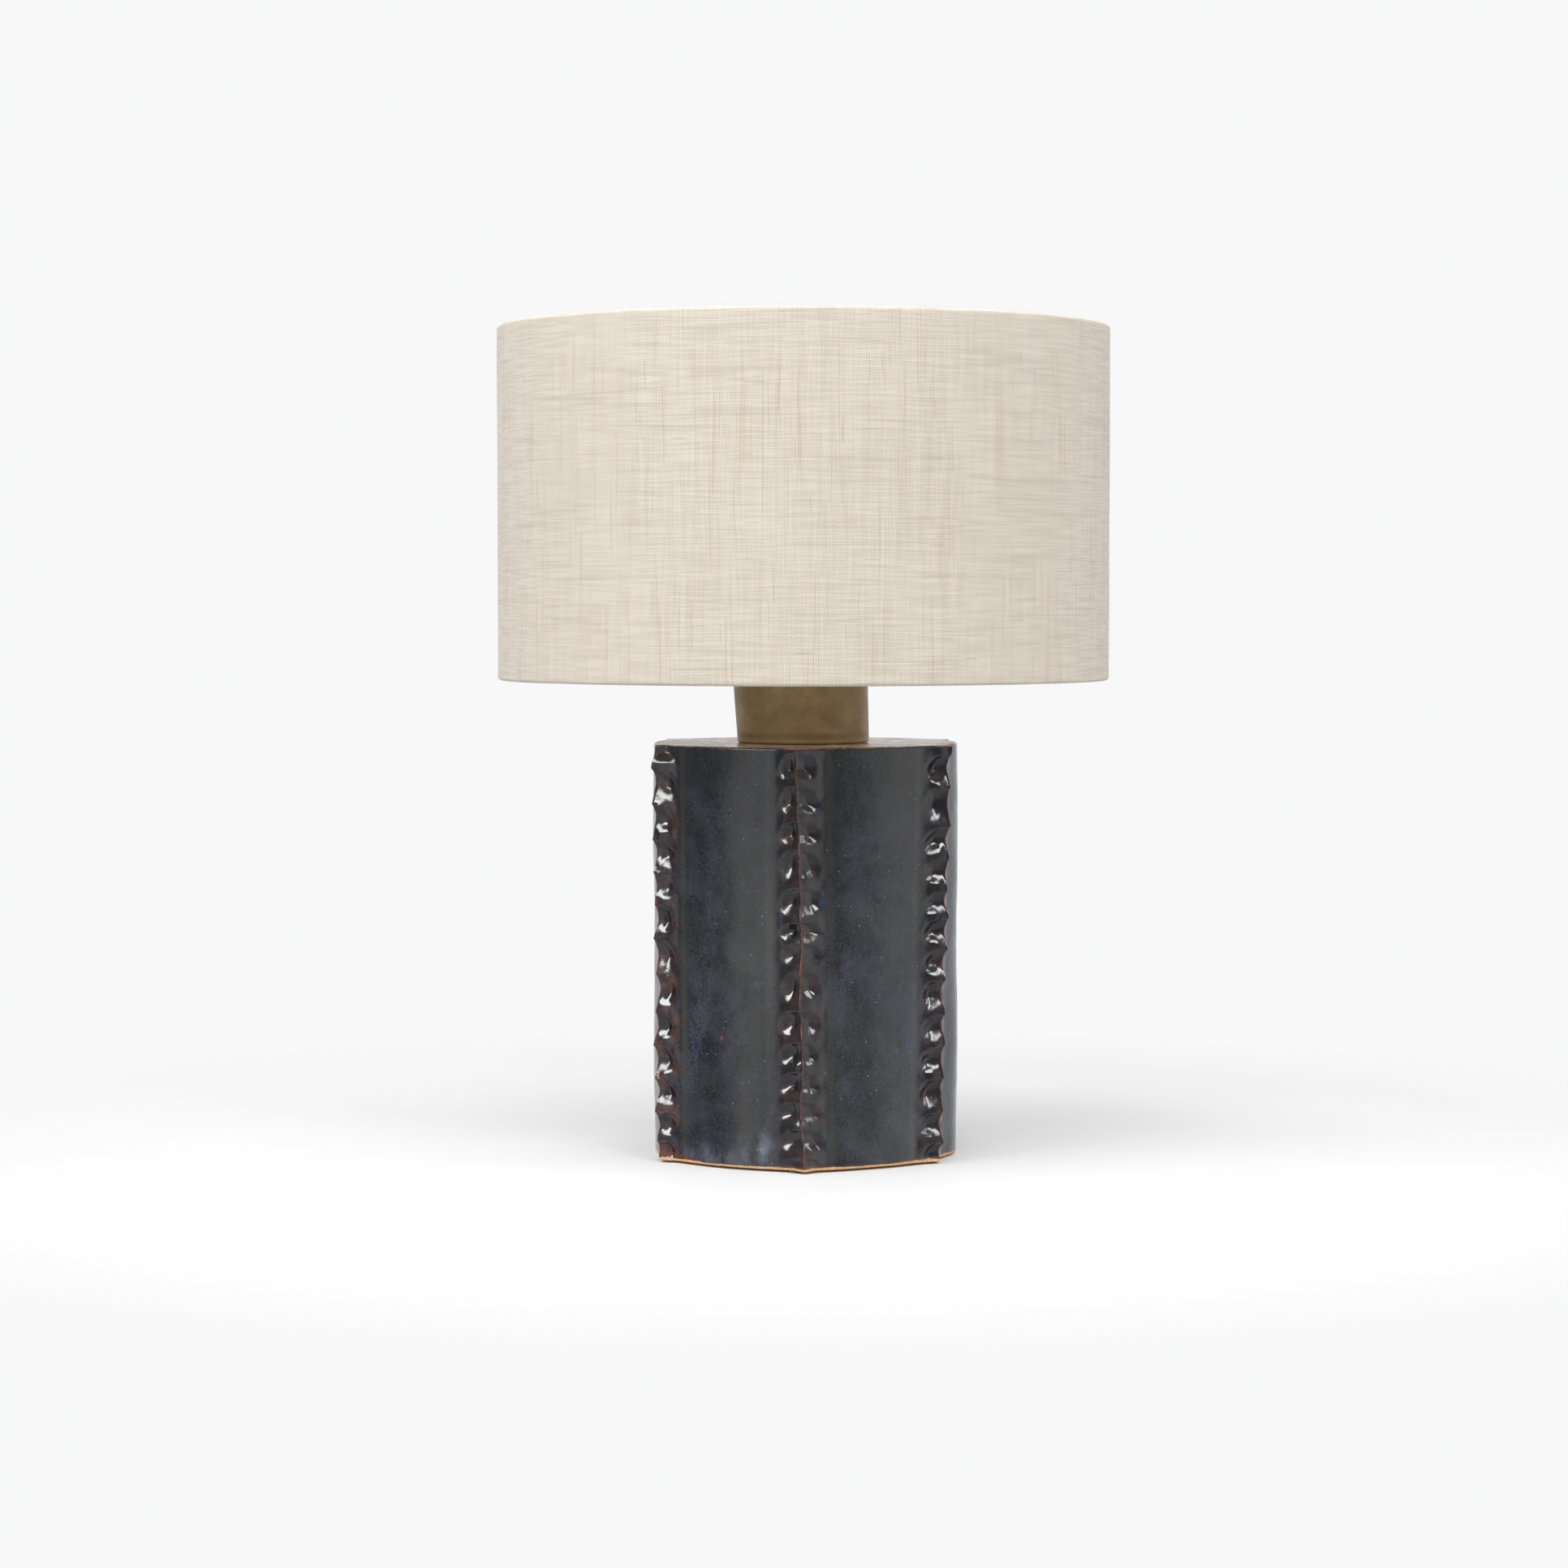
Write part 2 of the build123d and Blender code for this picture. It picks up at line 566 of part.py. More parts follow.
# ---------------------------------------------------------------- bulb
with BuildPart() as bulb_tip:
    with BuildSketch(Plane.XY.offset(TIP_BOTTOM)):
        Circle(BULB_TIP_RADIUS)
    extrude(amount=TIP_HEIGHT)
    fillet(bulb_tip.edges().group_by(Axis.Z)[0], 1.2)
save(bulb_tip.part, "bulb_tip")

with BuildPart() as bulb_insulator:
    with BuildSketch(Plane.XY.offset(TIP_BOTTOM + TIP_HEIGHT + CLEARANCE)):
        Circle(BULB_INSULATOR_RADIUS)
    with BuildSketch(Plane.XY.offset(INSULATOR_TOP)):
        Circle(BULB_CAP_RADIUS - 2)
    loft()
save(bulb_insulator.part, "bulb_insulator")

BULB_CAP_WALL = 0.5
with BuildPart() as bulb_screw_cap:
    with BuildSketch(Plane.XY.offset(INSULATOR_TOP)):
        Circle(BULB_CAP_RADIUS)
        Circle(BULB_CAP_RADIUS - 2, mode=Mode.SUBTRACT)
    extrude(amount=BULB_CAP_WALL)
    with BuildSketch(Plane.XY.offset(INSULATOR_TOP)):
        Circle(BULB_CAP_RADIUS)
        Circle(BULB_NECK_RADIUS, mode=Mode.SUBTRACT)
    extrude(amount=BULB_CAP_TOP - INSULATOR_TOP)
    groove = INSULATOR_TOP + BULB_THREAD_PITCH / 2
    while groove < BULB_CAP_TOP - BULB_THREAD_PITCH:
        with BuildSketch(Plane.XZ):
            with Locations((BULB_CAP_RADIUS, groove)):
                Polygon((0.1, -1.2), (0.1, 1.2), (-BULB_CAP_WALL, 0), align=None)
        revolve(axis=Axis.Z, mode=Mode.SUBTRACT)
        groove += BULB_THREAD_PITCH
save(bulb_screw_cap.part, "bulb_screw_cap")

GLASS = 1.0
WIDEST = BULB_TOP - BULB_RADIUS
SEAT_BOTTOM = BULB_CAP_TOP - BULB_GLASS_SEAT
NECK_END = BULB_CAP_TOP + BULB_NECK_LENGTH
with BuildPart() as bulb_glass:
    with BuildSketch(Plane.XZ):
        with BuildLine():
            Line((BULB_NECK_RADIUS, SEAT_BOTTOM), (BULB_NECK_RADIUS, NECK_END))
            Spline(
                (BULB_NECK_RADIUS, NECK_END),
                (BULB_RADIUS - 9, WIDEST - 24),
                (BULB_RADIUS, WIDEST),
                tangents=((0, 1), (0, 1)),
            )
            RadiusArc((BULB_RADIUS, WIDEST), (0, BULB_TOP), -BULB_RADIUS)
            Line((0, BULB_TOP), (0, BULB_TOP - GLASS))
            RadiusArc((0, BULB_TOP - GLASS), (BULB_RADIUS - GLASS, WIDEST), BULB_RADIUS - GLASS)
            Spline(
                (BULB_RADIUS - GLASS, WIDEST),
                (BULB_RADIUS - 9 - GLASS, WIDEST - 24 + 0.5),
                (BULB_NECK_RADIUS - GLASS, NECK_END),
                tangents=((0, -1), (0, -1)),
            )
            Line((BULB_NECK_RADIUS - GLASS, NECK_END), (BULB_NECK_RADIUS - GLASS, SEAT_BOTTOM))
            Line((BULB_NECK_RADIUS - GLASS, SEAT_BOTTOM), (BULB_NECK_RADIUS, SEAT_BOTTOM))
        make_face()
    revolve(axis=Axis.Z)
save(bulb_glass.part, "bulb_glass")

STEM_TOP = WIDEST - STEM_DROP
with BuildPart() as bulb_stem:
    stem_bottom = SEAT_BOTTOM + STEM_DISC
    with BuildSketch(Plane.XY.offset(SEAT_BOTTOM)):
        Circle(BULB_NECK_RADIUS - GLASS)
    extrude(amount=STEM_DISC)
    with BuildSketch(Plane.XY.offset(stem_bottom)):
        Circle(STEM_RADIUS)
    extrude(amount=STEM_TOP - stem_bottom, taper=1.5)
save(bulb_stem.part, "bulb_stem")

FILAMENTS = 4
with BuildPart() as bulb_filaments:
    with BuildSketch(Plane.XY.offset(STEM_TOP + 1)):
        with PolarLocations(FILAMENT_CIRCLE, FILAMENTS, start_angle=45):
            Circle(FILAMENT_RADIUS)
    extrude(amount=-FILAMENT_LENGTH)
save(bulb_filaments.part, "bulb_filaments")

# ---------------------------------------------------------------- shade frame
WIRE_RING_RADIUS = SHADE_RADIUS - FABRIC - LINER - WIRE_RADIUS
LOWER_WIRE = SHADE_BOTTOM + FABRIC + WIRE_RADIUS
UPPER_WIRE = SHADE_TOP - FABRIC - WIRE_RADIUS


def wire_ring(height):
    """A round wire hoop inside the shade's edge."""
    with BuildPart() as ring:
        with BuildSketch(Plane.XZ):
            with Locations((WIRE_RING_RADIUS, height)):
                Circle(WIRE_RADIUS)
        revolve(axis=Axis.Z)
    return ring.part


lower_wire_ring = wire_ring(LOWER_WIRE)
save(wire_ring(UPPER_WIRE), "upper_wire_ring")
save(lower_wire_ring, "lower_wire_ring")

with BuildPart() as fitter_ring:
    with BuildSketch(Plane.XY.offset(FITTER_BOTTOM)):
        Circle(FITTER_RADIUS)
        Circle(FITTER_BORE_RADIUS, mode=Mode.SUBTRACT)
    extrude(amount=FITTER_THICKNESS)
save(fitter_ring.part, "fitter_ring")

ARM_START_HEIGHT = FITTER_BOTTOM + FITTER_THICKNESS / 2
ARM_END_HEIGHT = LOWER_WIRE + 4.0
with BuildPart() as spider_arm:
    with BuildLine(Plane.XZ) as arm_path:
        FilletPolyline(
            (FITTER_RADIUS - 1, ARM_START_HEIGHT),
            (FITTER_RADIUS + 16, ARM_START_HEIGHT),
            (WIRE_RING_RADIUS, ARM_END_HEIGHT),
            (WIRE_RING_RADIUS, LOWER_WIRE),
            radius=4,
        )
    with BuildSketch(Plane(origin=(FITTER_RADIUS - 1, 0, ARM_START_HEIGHT), z_dir=(1, 0, 0))):
        Circle(ARM_RADIUS)
    sweep()
    with Locations((0, 0, ARM_START_HEIGHT)):
        Cylinder(FITTER_RADIUS, 3 * FITTER_THICKNESS, mode=Mode.SUBTRACT)
    add(lower_wire_ring, mode=Mode.SUBTRACT)
with BuildPart() as spider_arms:
    with PolarLocations(0, ARMS, start_angle=90):
        add(spider_arm.part)
save(spider_arms.part, "spider_arms")

# ---------------------------------------------------------------- shade skin
HEM_INNER = WIRE_RING_RADIUS - WIRE_RADIUS - FABRIC - 0.1
with BuildPart() as shade_fabric:
    with BuildSketch(Plane.XZ):
        with BuildLine():
            Polyline(
                (SHADE_RADIUS, SHADE_BOTTOM),
                (SHADE_RADIUS, SHADE_TOP),
                (HEM_INNER, SHADE_TOP),
                (HEM_INNER, SHADE_TOP - HEM_RETURN),
                (HEM_INNER + FABRIC, SHADE_TOP - HEM_RETURN),
                (HEM_INNER + FABRIC, SHADE_TOP - FABRIC),
                (SHADE_RADIUS - FABRIC, SHADE_TOP - FABRIC),
                (SHADE_RADIUS - FABRIC, SHADE_BOTTOM + FABRIC),
                (HEM_INNER + FABRIC, SHADE_BOTTOM + FABRIC),
                (HEM_INNER + FABRIC, SHADE_BOTTOM + HEM_RETURN),
                (HEM_INNER, SHADE_BOTTOM + HEM_RETURN),
                (HEM_INNER, SHADE_BOTTOM),
                close=True,
            )
        make_face()
    revolve(axis=Axis.Z)
    with BuildSketch(Plane.XY.offset(SHADE_BOTTOM + FABRIC)):
        with PolarLocations(HEM_INNER, ARMS, start_angle=90):
            Rectangle(3, 3 * ARM_RADIUS)
    extrude(amount=HEM_RETURN, mode=Mode.SUBTRACT)
save(shade_fabric.part, "shade_fabric")

with BuildPart() as shade_liner:
    with BuildSketch(Plane.XY.offset(SHADE_BOTTOM + FABRIC)):
        Circle(SHADE_RADIUS - FABRIC)
        Circle(SHADE_RADIUS - FABRIC - LINER, mode=Mode.SUBTRACT)
    extrude(amount=SHADE_HEIGHT - 2 * FABRIC)
save(shade_liner.part, "shade_liner")
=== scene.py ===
"""Looks of the table lamp: glazed slab-built base with crimped ridges, ceramic neck, linen drum shade.

Lengths in the shape code are millimetres in the CAD frame, and become metres when a mesh is made.
"""

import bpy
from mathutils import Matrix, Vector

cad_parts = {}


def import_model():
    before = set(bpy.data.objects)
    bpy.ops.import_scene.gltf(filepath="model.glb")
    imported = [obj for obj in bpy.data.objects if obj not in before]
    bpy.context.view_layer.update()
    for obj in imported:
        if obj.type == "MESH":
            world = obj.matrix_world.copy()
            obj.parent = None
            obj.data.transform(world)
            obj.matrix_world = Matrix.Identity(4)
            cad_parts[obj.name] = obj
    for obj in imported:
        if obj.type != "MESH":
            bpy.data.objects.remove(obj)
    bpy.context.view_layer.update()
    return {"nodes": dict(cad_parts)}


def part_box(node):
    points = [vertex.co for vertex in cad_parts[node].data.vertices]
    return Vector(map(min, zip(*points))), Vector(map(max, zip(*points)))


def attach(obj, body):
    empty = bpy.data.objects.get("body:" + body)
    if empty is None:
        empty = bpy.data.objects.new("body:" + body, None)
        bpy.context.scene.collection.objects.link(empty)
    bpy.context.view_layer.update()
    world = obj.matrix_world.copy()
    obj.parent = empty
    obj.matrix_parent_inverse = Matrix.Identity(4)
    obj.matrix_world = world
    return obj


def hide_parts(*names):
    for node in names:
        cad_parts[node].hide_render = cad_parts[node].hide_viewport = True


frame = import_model()

import math
import random

import bpy
import numpy as np
from mathutils import Vector, noise

MM = 0.001


def node_box(node):
    """A CAD node's lowest and highest corners, in millimetres."""
    return [np.array(corner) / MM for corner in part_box(node)]


def smooth(low, high, x):
    """0 below low, 1 above high and a smooth step between."""
    f = np.clip((x - low) / (high - low), 0, 1)
    return f * f * (3 - 2 * f)


def softened(values, width):
    """Evenly spaced values, averaged over a bell that is width of them wide."""
    bell = np.hanning(width)
    return np.convolve(np.pad(values, width // 2, mode="edge"), bell / bell.sum(), mode="valid")


def toward(degrees):
    """The direction across the lamp at that azimuth, as X and Y."""
    turn = math.radians(degrees)
    return np.array([math.cos(turn), math.sin(turn)])


def round_angles(count):
    """Evenly spaced angles once round, in radians."""
    return np.arange(count) * 2 * math.pi / count


def round_points(radius, angles, height):
    """Points round Z. The radius is a number or one for each angle, and so is the height."""
    return np.column_stack([radius * np.cos(angles), radius * np.sin(angles), np.full(len(angles), height)])


def rgb(r, g, b):
    """A display colour from 0 to 255 as linear light."""
    return tuple(((c / 255 + 0.055) / 1.055) ** 2.4 if c > 10 else c / 3295 for c in (r, g, b))


def wander(x, y, z, size, seed=0.0):
    """Soft noise from about -1 to 1 over points in mm, whose features are about size mm across."""
    out = np.empty(len(x))
    for i in range(len(x)):
        out[i] = noise.noise(Vector((x[i] / size + seed, y[i] / size - seed, z[i] / size + 2 * seed)))
    return out


# ---- materials
class Nodes:
    """A tree of shader nodes, and short ways to add to it."""

    def __init__(self, tree):
        self.tree = tree

    def add(self, kind, **settings):
        made = self.tree.nodes.new(kind)
        for key, value in settings.items():
            setattr(made, key, value)
        return made

    def feed(self, socket, value):
        """Links a socket, or sets its value. A colour may leave out its alpha."""
        if isinstance(value, bpy.types.NodeSocket):
            self.tree.links.new(value, socket)
        elif isinstance(value, (tuple, list)) and len(value) == 3 and len(socket.default_value) == 4:
            socket.default_value = (*value, 1)
        else:
            socket.default_value = value

    def math(self, operation, a, b=0.0):
        m = self.add("ShaderNodeMath", operation=operation)
        self.feed(m.inputs[0], a)
        self.feed(m.inputs[1], b)
        return m.outputs[0]

    def times(self, a, b):
        return self.math("MULTIPLY", a, b)

    def plus(self, a, b):
        return self.math("ADD", a, b)

    def minus(self, a, b):
        return self.math("SUBTRACT", a, b)

    def span(self, value, low, high, to_low=0.0, to_high=1.0):
        """The value with low to high spread smoothly over to_low to to_high."""
        m = self.add("ShaderNodeMapRange", interpolation_type="SMOOTHSTEP")
        self.feed(m.inputs["Value"], value)
        for key, number in (("From Min", low), ("From Max", high), ("To Min", to_low), ("To Max", to_high)):
            m.inputs[key].default_value = number
        return m.outputs["Result"]

    def mixed_shader(self, factor, first, second):
        blend = self.add("ShaderNodeMixShader")
        for socket, value in zip(blend.inputs, (factor, first, second)):
            self.feed(socket, value)
        return blend.outputs[0]


class Look(Nodes):
    """A Principled material, and the node patterns that the lamp's surfaces share."""

    def __init__(self, name, **sockets):
        self.material = bpy.data.materials.new(name)
        self.material.use_nodes = True
        super().__init__(self.material.node_tree)
        self.shader = self.tree.nodes["Principled BSDF"]
        self.place = self.add("ShaderNodeTexCoord").outputs["Object"]
        for key, value in sockets.items():
            self.shader.inputs[key.replace("_", " ")].default_value = value

    def set(self, key, value):
        self.feed(self.shader.inputs[key], value)

    def stretched(self, scale, source=None):
        """The place on the object, scaled along X, Y and Z, in features per metre."""
        m = self.add("ShaderNodeVectorMath", operation="MULTIPLY")
        self.feed(m.inputs[0], source or self.place)
        m.inputs[1].default_value = scale
        return m.outputs[0]

    def noise(self, scale, detail=3.0, rough=0.55, source=None, warp=0.0):
        """Noise with that many features per metre, or that many along X, Y and Z."""
        if isinstance(scale, tuple):
            source, scale = self.stretched(scale, source), 1.0
        n = self.add("ShaderNodeTexNoise")
        self.feed(n.inputs["Vector"], source or self.place)
        for key, number in (("Scale", scale), ("Detail", detail), ("Roughness", rough), ("Distortion", warp)):
            n.inputs[key].default_value = number
        return n.outputs["Fac"]

    def clouds(self, low, high, *settings, **more):
        """Noise, from 0 where it is at low to 1 where it is at high."""
        return self.span(self.noise(*settings, **more), low, high)

    def cells(self, scale):
        """Distance to the nearest of many scattered points."""
        v = self.add("ShaderNodeTexVoronoi")
        self.feed(v.inputs["Vector"], self.place)
        v.inputs["Scale"].default_value = scale
        return v.outputs["Distance"]

    def mix(self, factor, a, b):
        m = self.add("ShaderNodeMix", data_type="RGBA")
        for socket, value in ((0, factor), (6, a), (7, b)):
            self.feed(m.inputs[socket], value)
        return m.outputs[2]

    def paint(self, color, where, strength=None):
        """Lays a display colour over the look's own colour."""
        self.color = self.tint(self.color, color, where, strength)

    def tint(self, color, paint, where, strength=None):
        """The colour with a display colour laid over it where a value from 0 to 1 says."""
        if strength is not None:
            where = self.times(where, strength)
        return self.mix(where, color, rgb(*paint))

    def mark(self, name):
        """A value painted on the mesh's points."""
        return self.add("ShaderNodeAttribute", attribute_name=name).outputs["Fac"]

    def axis(self, letter, source=None):
        s = self.add("ShaderNodeSeparateXYZ")
        self.feed(s.inputs[0], source or self.place)
        return s.outputs[letter]

    def near(self, point, reach):
        """1 at a point given in mm, fading to 0 at the reach in mm along each axis."""
        v = self.add("ShaderNodeVectorMath", operation="SUBTRACT")
        self.feed(v.inputs[0], self.place)
        v.inputs[1].default_value = [c * MM for c in point]
        s = self.add("ShaderNodeVectorMath", operation="DIVIDE")
        self.feed(s.inputs[0], v.outputs[0])
        s.inputs[1].default_value = [c * MM for c in reach]
        length = self.add("ShaderNodeVectorMath", operation="LENGTH")
        self.feed(length.inputs[0], s.outputs[0])
        return self.span(length.outputs["Value"], 1.0, 0.0)

    def bump(self, height, distance, strength, over=None):
        """Relief of that many mm, over another relief if one is given."""
        b = self.add("ShaderNodeBump")
        b.inputs["Strength"].default_value = strength
        b.inputs["Distance"].default_value = distance * MM
        self.feed(b.inputs["Height"], height)
        if over is not None:
            self.feed(b.inputs["Normal"], over)
        self.set("Normal", b.outputs[0])
        return b.outputs[0]


# blue spots down the front ridge: centre and reach in mm, and strength
BLUE_SPOTS = (
    ((15, -105, 230), (3, 7, 5), 0.75),
    ((-10, -107, 262), (6, 6, 4), 0.3),
    ((17, -103, 172), (4, 7, 5), 0.4),
)


def dark_glaze():
    """Glossy blue-black glaze that breaks brown and rust where it runs thin, over buff clay."""
    look = Look("dark_glaze", IOR=1.8, Specular_IOR_Level=0.38)
    thin, fin, band = look.mark("thin"), look.mark("fin"), look.mark("band")
    foot, streak, brown = look.mark("foot"), look.mark("streak"), look.mark("brown")
    cloud = look.noise(24, 4, 0.62, warp=0.7)
    grain = look.noise(620, 3, 0.75)
    crystals = look.span(look.cells(760), 0.34, 0.10)
    look.color = look.mix(look.span(cloud, 0.38, 0.62), rgb(7, 7, 20), rgb(26, 26, 36))
    look.paint((32, 34, 22), look.clouds(0.46, 0.62, 13, 3), 0.5)
    milky = look.clouds(0.52, 0.70, (20, 20, 13), 4, 0.62, warp=0.5)
    milky = look.times(milky, look.span(grain, 0.36, 0.60))
    look.paint((76, 82, 98), milky, 0.65)
    look.paint((60, 60, 74), look.span(grain, 0.50, 0.64), 0.6)
    look.paint((3, 3, 8), look.span(grain, 0.50, 0.34), 0.75)
    many = look.clouds(0.46, 0.62, 36, 3, 0.6)
    look.paint((80, 84, 96), look.times(crystals, many), 0.75)
    # paler clouds in the glossy skin: partly the duller glaze's own tone, partly a painted reflection standing
    # in for the glaze's uneven sheen
    clouds = look.clouds(0.40, 0.66, 30, 5, 0.7, warp=0.6)
    clouds = look.times(clouds, look.span(grain, 0.66, 0.36))
    look.paint((66, 68, 76), clouds, 0.75)
    # olive-grey runs beside the ridges
    runs = look.clouds(0.28, 0.62, (75, 75, 7), 4, 0.6)
    look.paint((52, 52, 45), look.times(band, runs), 0.6)
    look.paint((70, 70, 58), look.times(streak, runs), 0.45)
    # a bluish milky patch low beside the front ridge, and smaller blue spots beside the ridges
    core = look.near((-25, -95, 14), (17, 24, 17))
    patch = look.math("MAXIMUM", core, look.times(look.near((-56, -80, 6), (44, 40, 14)), 0.5))
    patch = look.times(patch, look.clouds(0.34, 0.60, (80, 80, 44), 4, 0.7))
    look.paint((112, 118, 134), patch, 0.95)
    blue = look.times(look.clouds(0.64, 0.72, 52, 3, 0.6), look.math("MAXIMUM", band, fin))
    look.paint((44, 66, 100), blue, 0.6)
    # single pale specks
    dots = look.times(look.span(look.cells(210), 0.13, 0.06), look.clouds(0.53, 0.6, 90, 2))
    look.paint((132, 138, 150), dots, 0.8)
    speck = look.near((-48, -86, 84), (1.5, 4, 2.4))
    look.paint((116, 62, 44), look.span(speck, 0.1, 0.4), 0.8)
    # on the ridges the glaze is thin: brown-black, then red-brown patches, then rust on the sharpest edges
    patches = look.times(look.clouds(0.46, 0.60, 95, 4, 0.7), fin)
    look.paint((14, 12, 16), fin, 0.75)
    look.paint((78, 46, 36), look.times(patches, look.times(brown, 0.9)))
    worn = look.times(thin, look.span(look.noise(120, 4, 0.7), 0.32, 0.62, 0.25, 1.2))
    look.paint((86, 48, 34), look.span(worn, 0.15, 0.55))
    look.paint((160, 96, 62), look.span(worn, 0.6, 1.0))
    for spot, reach, strength in BLUE_SPOTS:
        look.paint((62, 100, 148), look.near(spot, reach), strength)
    # bare clay at the foot
    grit = look.noise(900, 4, 0.7)
    body = look.mix(look.span(grit, 0.35, 0.65), rgb(186, 138, 92), rgb(222, 182, 134))
    edge = look.plus(foot, look.times(look.minus(look.noise(130, 4), 0.5), 0.5))
    bare = look.span(edge, 0.50, 0.62)
    look.paint((92, 52, 34), look.span(edge, 0.26, 0.44))
    look.set("Base Color", look.mix(bare, look.color, body))
    gloss = look.plus(look.span(look.noise(70, 3), 0.3, 0.7, 0.12, 0.24), look.times(bare, 0.6))
    look.set("Roughness", gloss)
    peel = look.plus(look.noise(330, 2, 0.5), look.times(look.noise(75, 2), 3.0))
    first = look.bump(peel, 0.16, 0.7)
    pits = look.times(look.span(look.cells(520), 0.10, 0.02), look.clouds(0.52, 0.6, 60, 2))
    look.bump(look.minus(look.times(bare, grit), pits), 0.25, 0.8, over=first)
    return look.material


def slab_glaze():
    """Glossy beige glaze with darker, browner streaks."""
    look = Look("slab_glaze", IOR=1.52)
    streak = look.noise((34, 11, 20), 5, 0.62, warp=1.2)
    look.color = look.mix(look.span(streak, 0.34, 0.66), rgb(150, 132, 108), rgb(190, 172, 148))
    look.paint((88, 74, 58), look.clouds(0.52, 0.7, 11, 3))
    look.paint((74, 60, 46), look.clouds(0.5, 0.7, 300, 4), 0.4)
    look.paint((96, 60, 38), look.mark("thin"), 0.9)
    look.set("Base Color", look.color)
    look.set("Roughness", look.span(look.noise(60, 3), 0.3, 0.7, 0.16, 0.30))
    look.bump(look.noise(90, 3), 0.25, 0.5)
    return look.material


def neck_glaze():
    """Satin olive-brown glaze, softly clouded, paler at its foot."""
    look = Look("neck_glaze", IOR=1.5)
    cloud = look.noise((24, 24, 34), 4, 0.6, warp=0.4)
    look.color = look.mix(look.span(cloud, 0.34, 0.66), rgb(150, 122, 78), rgb(178, 150, 106))
    look.paint((136, 116, 76), look.clouds(0.45, 0.7, 170, 5, 0.7), 0.5)
    height = look.axis("Z")
    low = node_box("neck_collar")[0][2] * MM
    # a darker line 5 mm above the foot of the neck
    line = look.span(height, low + 0.0085, low + 0.005)
    line = look.times(line, look.span(height, low + 0.002, low + 0.005))
    look.paint((116, 100, 68), line, 0.5)
    look.paint((190, 160, 116), look.span(height, low + 0.004, low), 0.8)
    look.set("Base Color", look.color)
    look.set("Roughness", look.span(look.noise(50, 3), 0.3, 0.7, 0.34, 0.48))
    fine = look.plus(look.noise(700, 3, 0.6), look.times(look.noise((40, 40, 60), 3), 2.0))
    look.bump(fine, 0.14, 0.5)
    return look.material


def linen():
    """Plain weave in which each thread has its own tone, with slubs, grey picks and a few golden ends."""
    look = Look("linen_weave", Roughness=0.9, Sheen_Weight=0.2, Sheen_Roughness=0.5)
    radius = node_box("shade_fabric")[1][0] * MM
    x, y, height = look.axis("X"), look.axis("Y"), look.axis("Z")
    around = look.times(look.math("ARCTAN2", x, look.times(y, -1.0)), radius)
    flat = look.add("ShaderNodeCombineXYZ")
    look.feed(flat.inputs[0], around)
    look.feed(flat.inputs[1], height)
    drift = look.add("ShaderNodeTexNoise")
    look.feed(drift.inputs["Vector"], flat.outputs[0])
    drift.inputs["Scale"].default_value = 16
    sway = look.add("ShaderNodeVectorMath", operation="MULTIPLY_ADD")
    look.feed(sway.inputs[0], drift.outputs["Color"])
    sway.inputs[1].default_value = (0.003, 0.003, 0)
    look.feed(sway.inputs[2], flat.outputs[0])
    pitch = 0.8 * MM
    threads = look.stretched((1 / pitch, 1 / pitch, 0), sway.outputs[0])
    end, pick = look.axis("X", threads), look.axis("Y", threads)
    end_number, pick_number = look.math("FLOOR", end), look.math("FLOOR", pick)
    over = look.math("MODULO", look.plus(look.plus(end_number, pick_number), 4000.0), 2.0)

    def tone(number, along, length, seed):
        """A value for each thread that drifts along its length."""
        place = look.add("ShaderNodeCombineXYZ")
        look.feed(place.inputs[0], look.times(number, 0.731))
        look.feed(place.inputs[1], look.times(along, 1 / length))
        place.inputs[2].default_value = seed
        return look.noise(1.0, 1.0, 0.5, source=place.outputs[0])

    weft, weft_far = tone(pick_number, end, 46, 3.1), tone(pick_number, end, 130, 8.7)
    warp, warp_far = tone(end_number, pick, 60, 5.3), tone(end_number, pick, 170, 1.9)
    weft_color = look.mix(look.span(weft, 0.30, 0.70), rgb(211, 194, 174), rgb(241, 228, 210))
    weft_color = look.tint(weft_color, (170, 158, 148), look.span(weft_far, 0.60, 0.72), 0.4)
    weft_color = look.tint(weft_color, (146, 128, 112), look.span(weft, 0.70, 0.78), 0.6)
    warp_color = look.mix(look.span(warp, 0.30, 0.70), rgb(243, 233, 219), rgb(255, 250, 240))
    warp_color = look.tint(warp_color, (222, 196, 158), look.span(warp_far, 0.62, 0.72), 0.6)
    warp_color = look.tint(warp_color, (206, 178, 140), look.span(warp, 0.71, 0.78), 0.6)
    look.color = look.mix(over, warp_color, weft_color)
    # broad, faint bands where the yarn is thicker or thinner
    bands = look.noise((9, 150, 1), 3, 0.6, source=flat.outputs[0])
    ends = look.noise((110, 6, 1), 3, 0.6, source=flat.outputs[0])
    look.paint((192, 176, 158), look.span(bands, 0.54, 0.70), 0.24)
    look.paint((246, 240, 232), look.span(ends, 0.55, 0.72), 0.24)
    look.paint((206, 186, 160), look.span(ends, 0.45, 0.30), 0.2)
    # gaps between the threads: painted shade darkens them, and the same gaps sink the relief
    gap_up, gap_across = (
        look.span(look.math("ABSOLUTE", look.minus(look.math("FRACT", thread), 0.5)), 0.30, 0.5)
        for thread in (end, pick)
    )
    gap = look.times(look.math("MAXIMUM", gap_up, gap_across), 0.45)
    # painted shade in the thread gaps
    look.paint((150, 138, 124), gap)
    look.set("Base Color", look.color)
    relief = look.plus(look.times(gap, -1.6), look.plus(weft, warp))
    look.bump(relief, 0.14, 0.6)
    return look.material


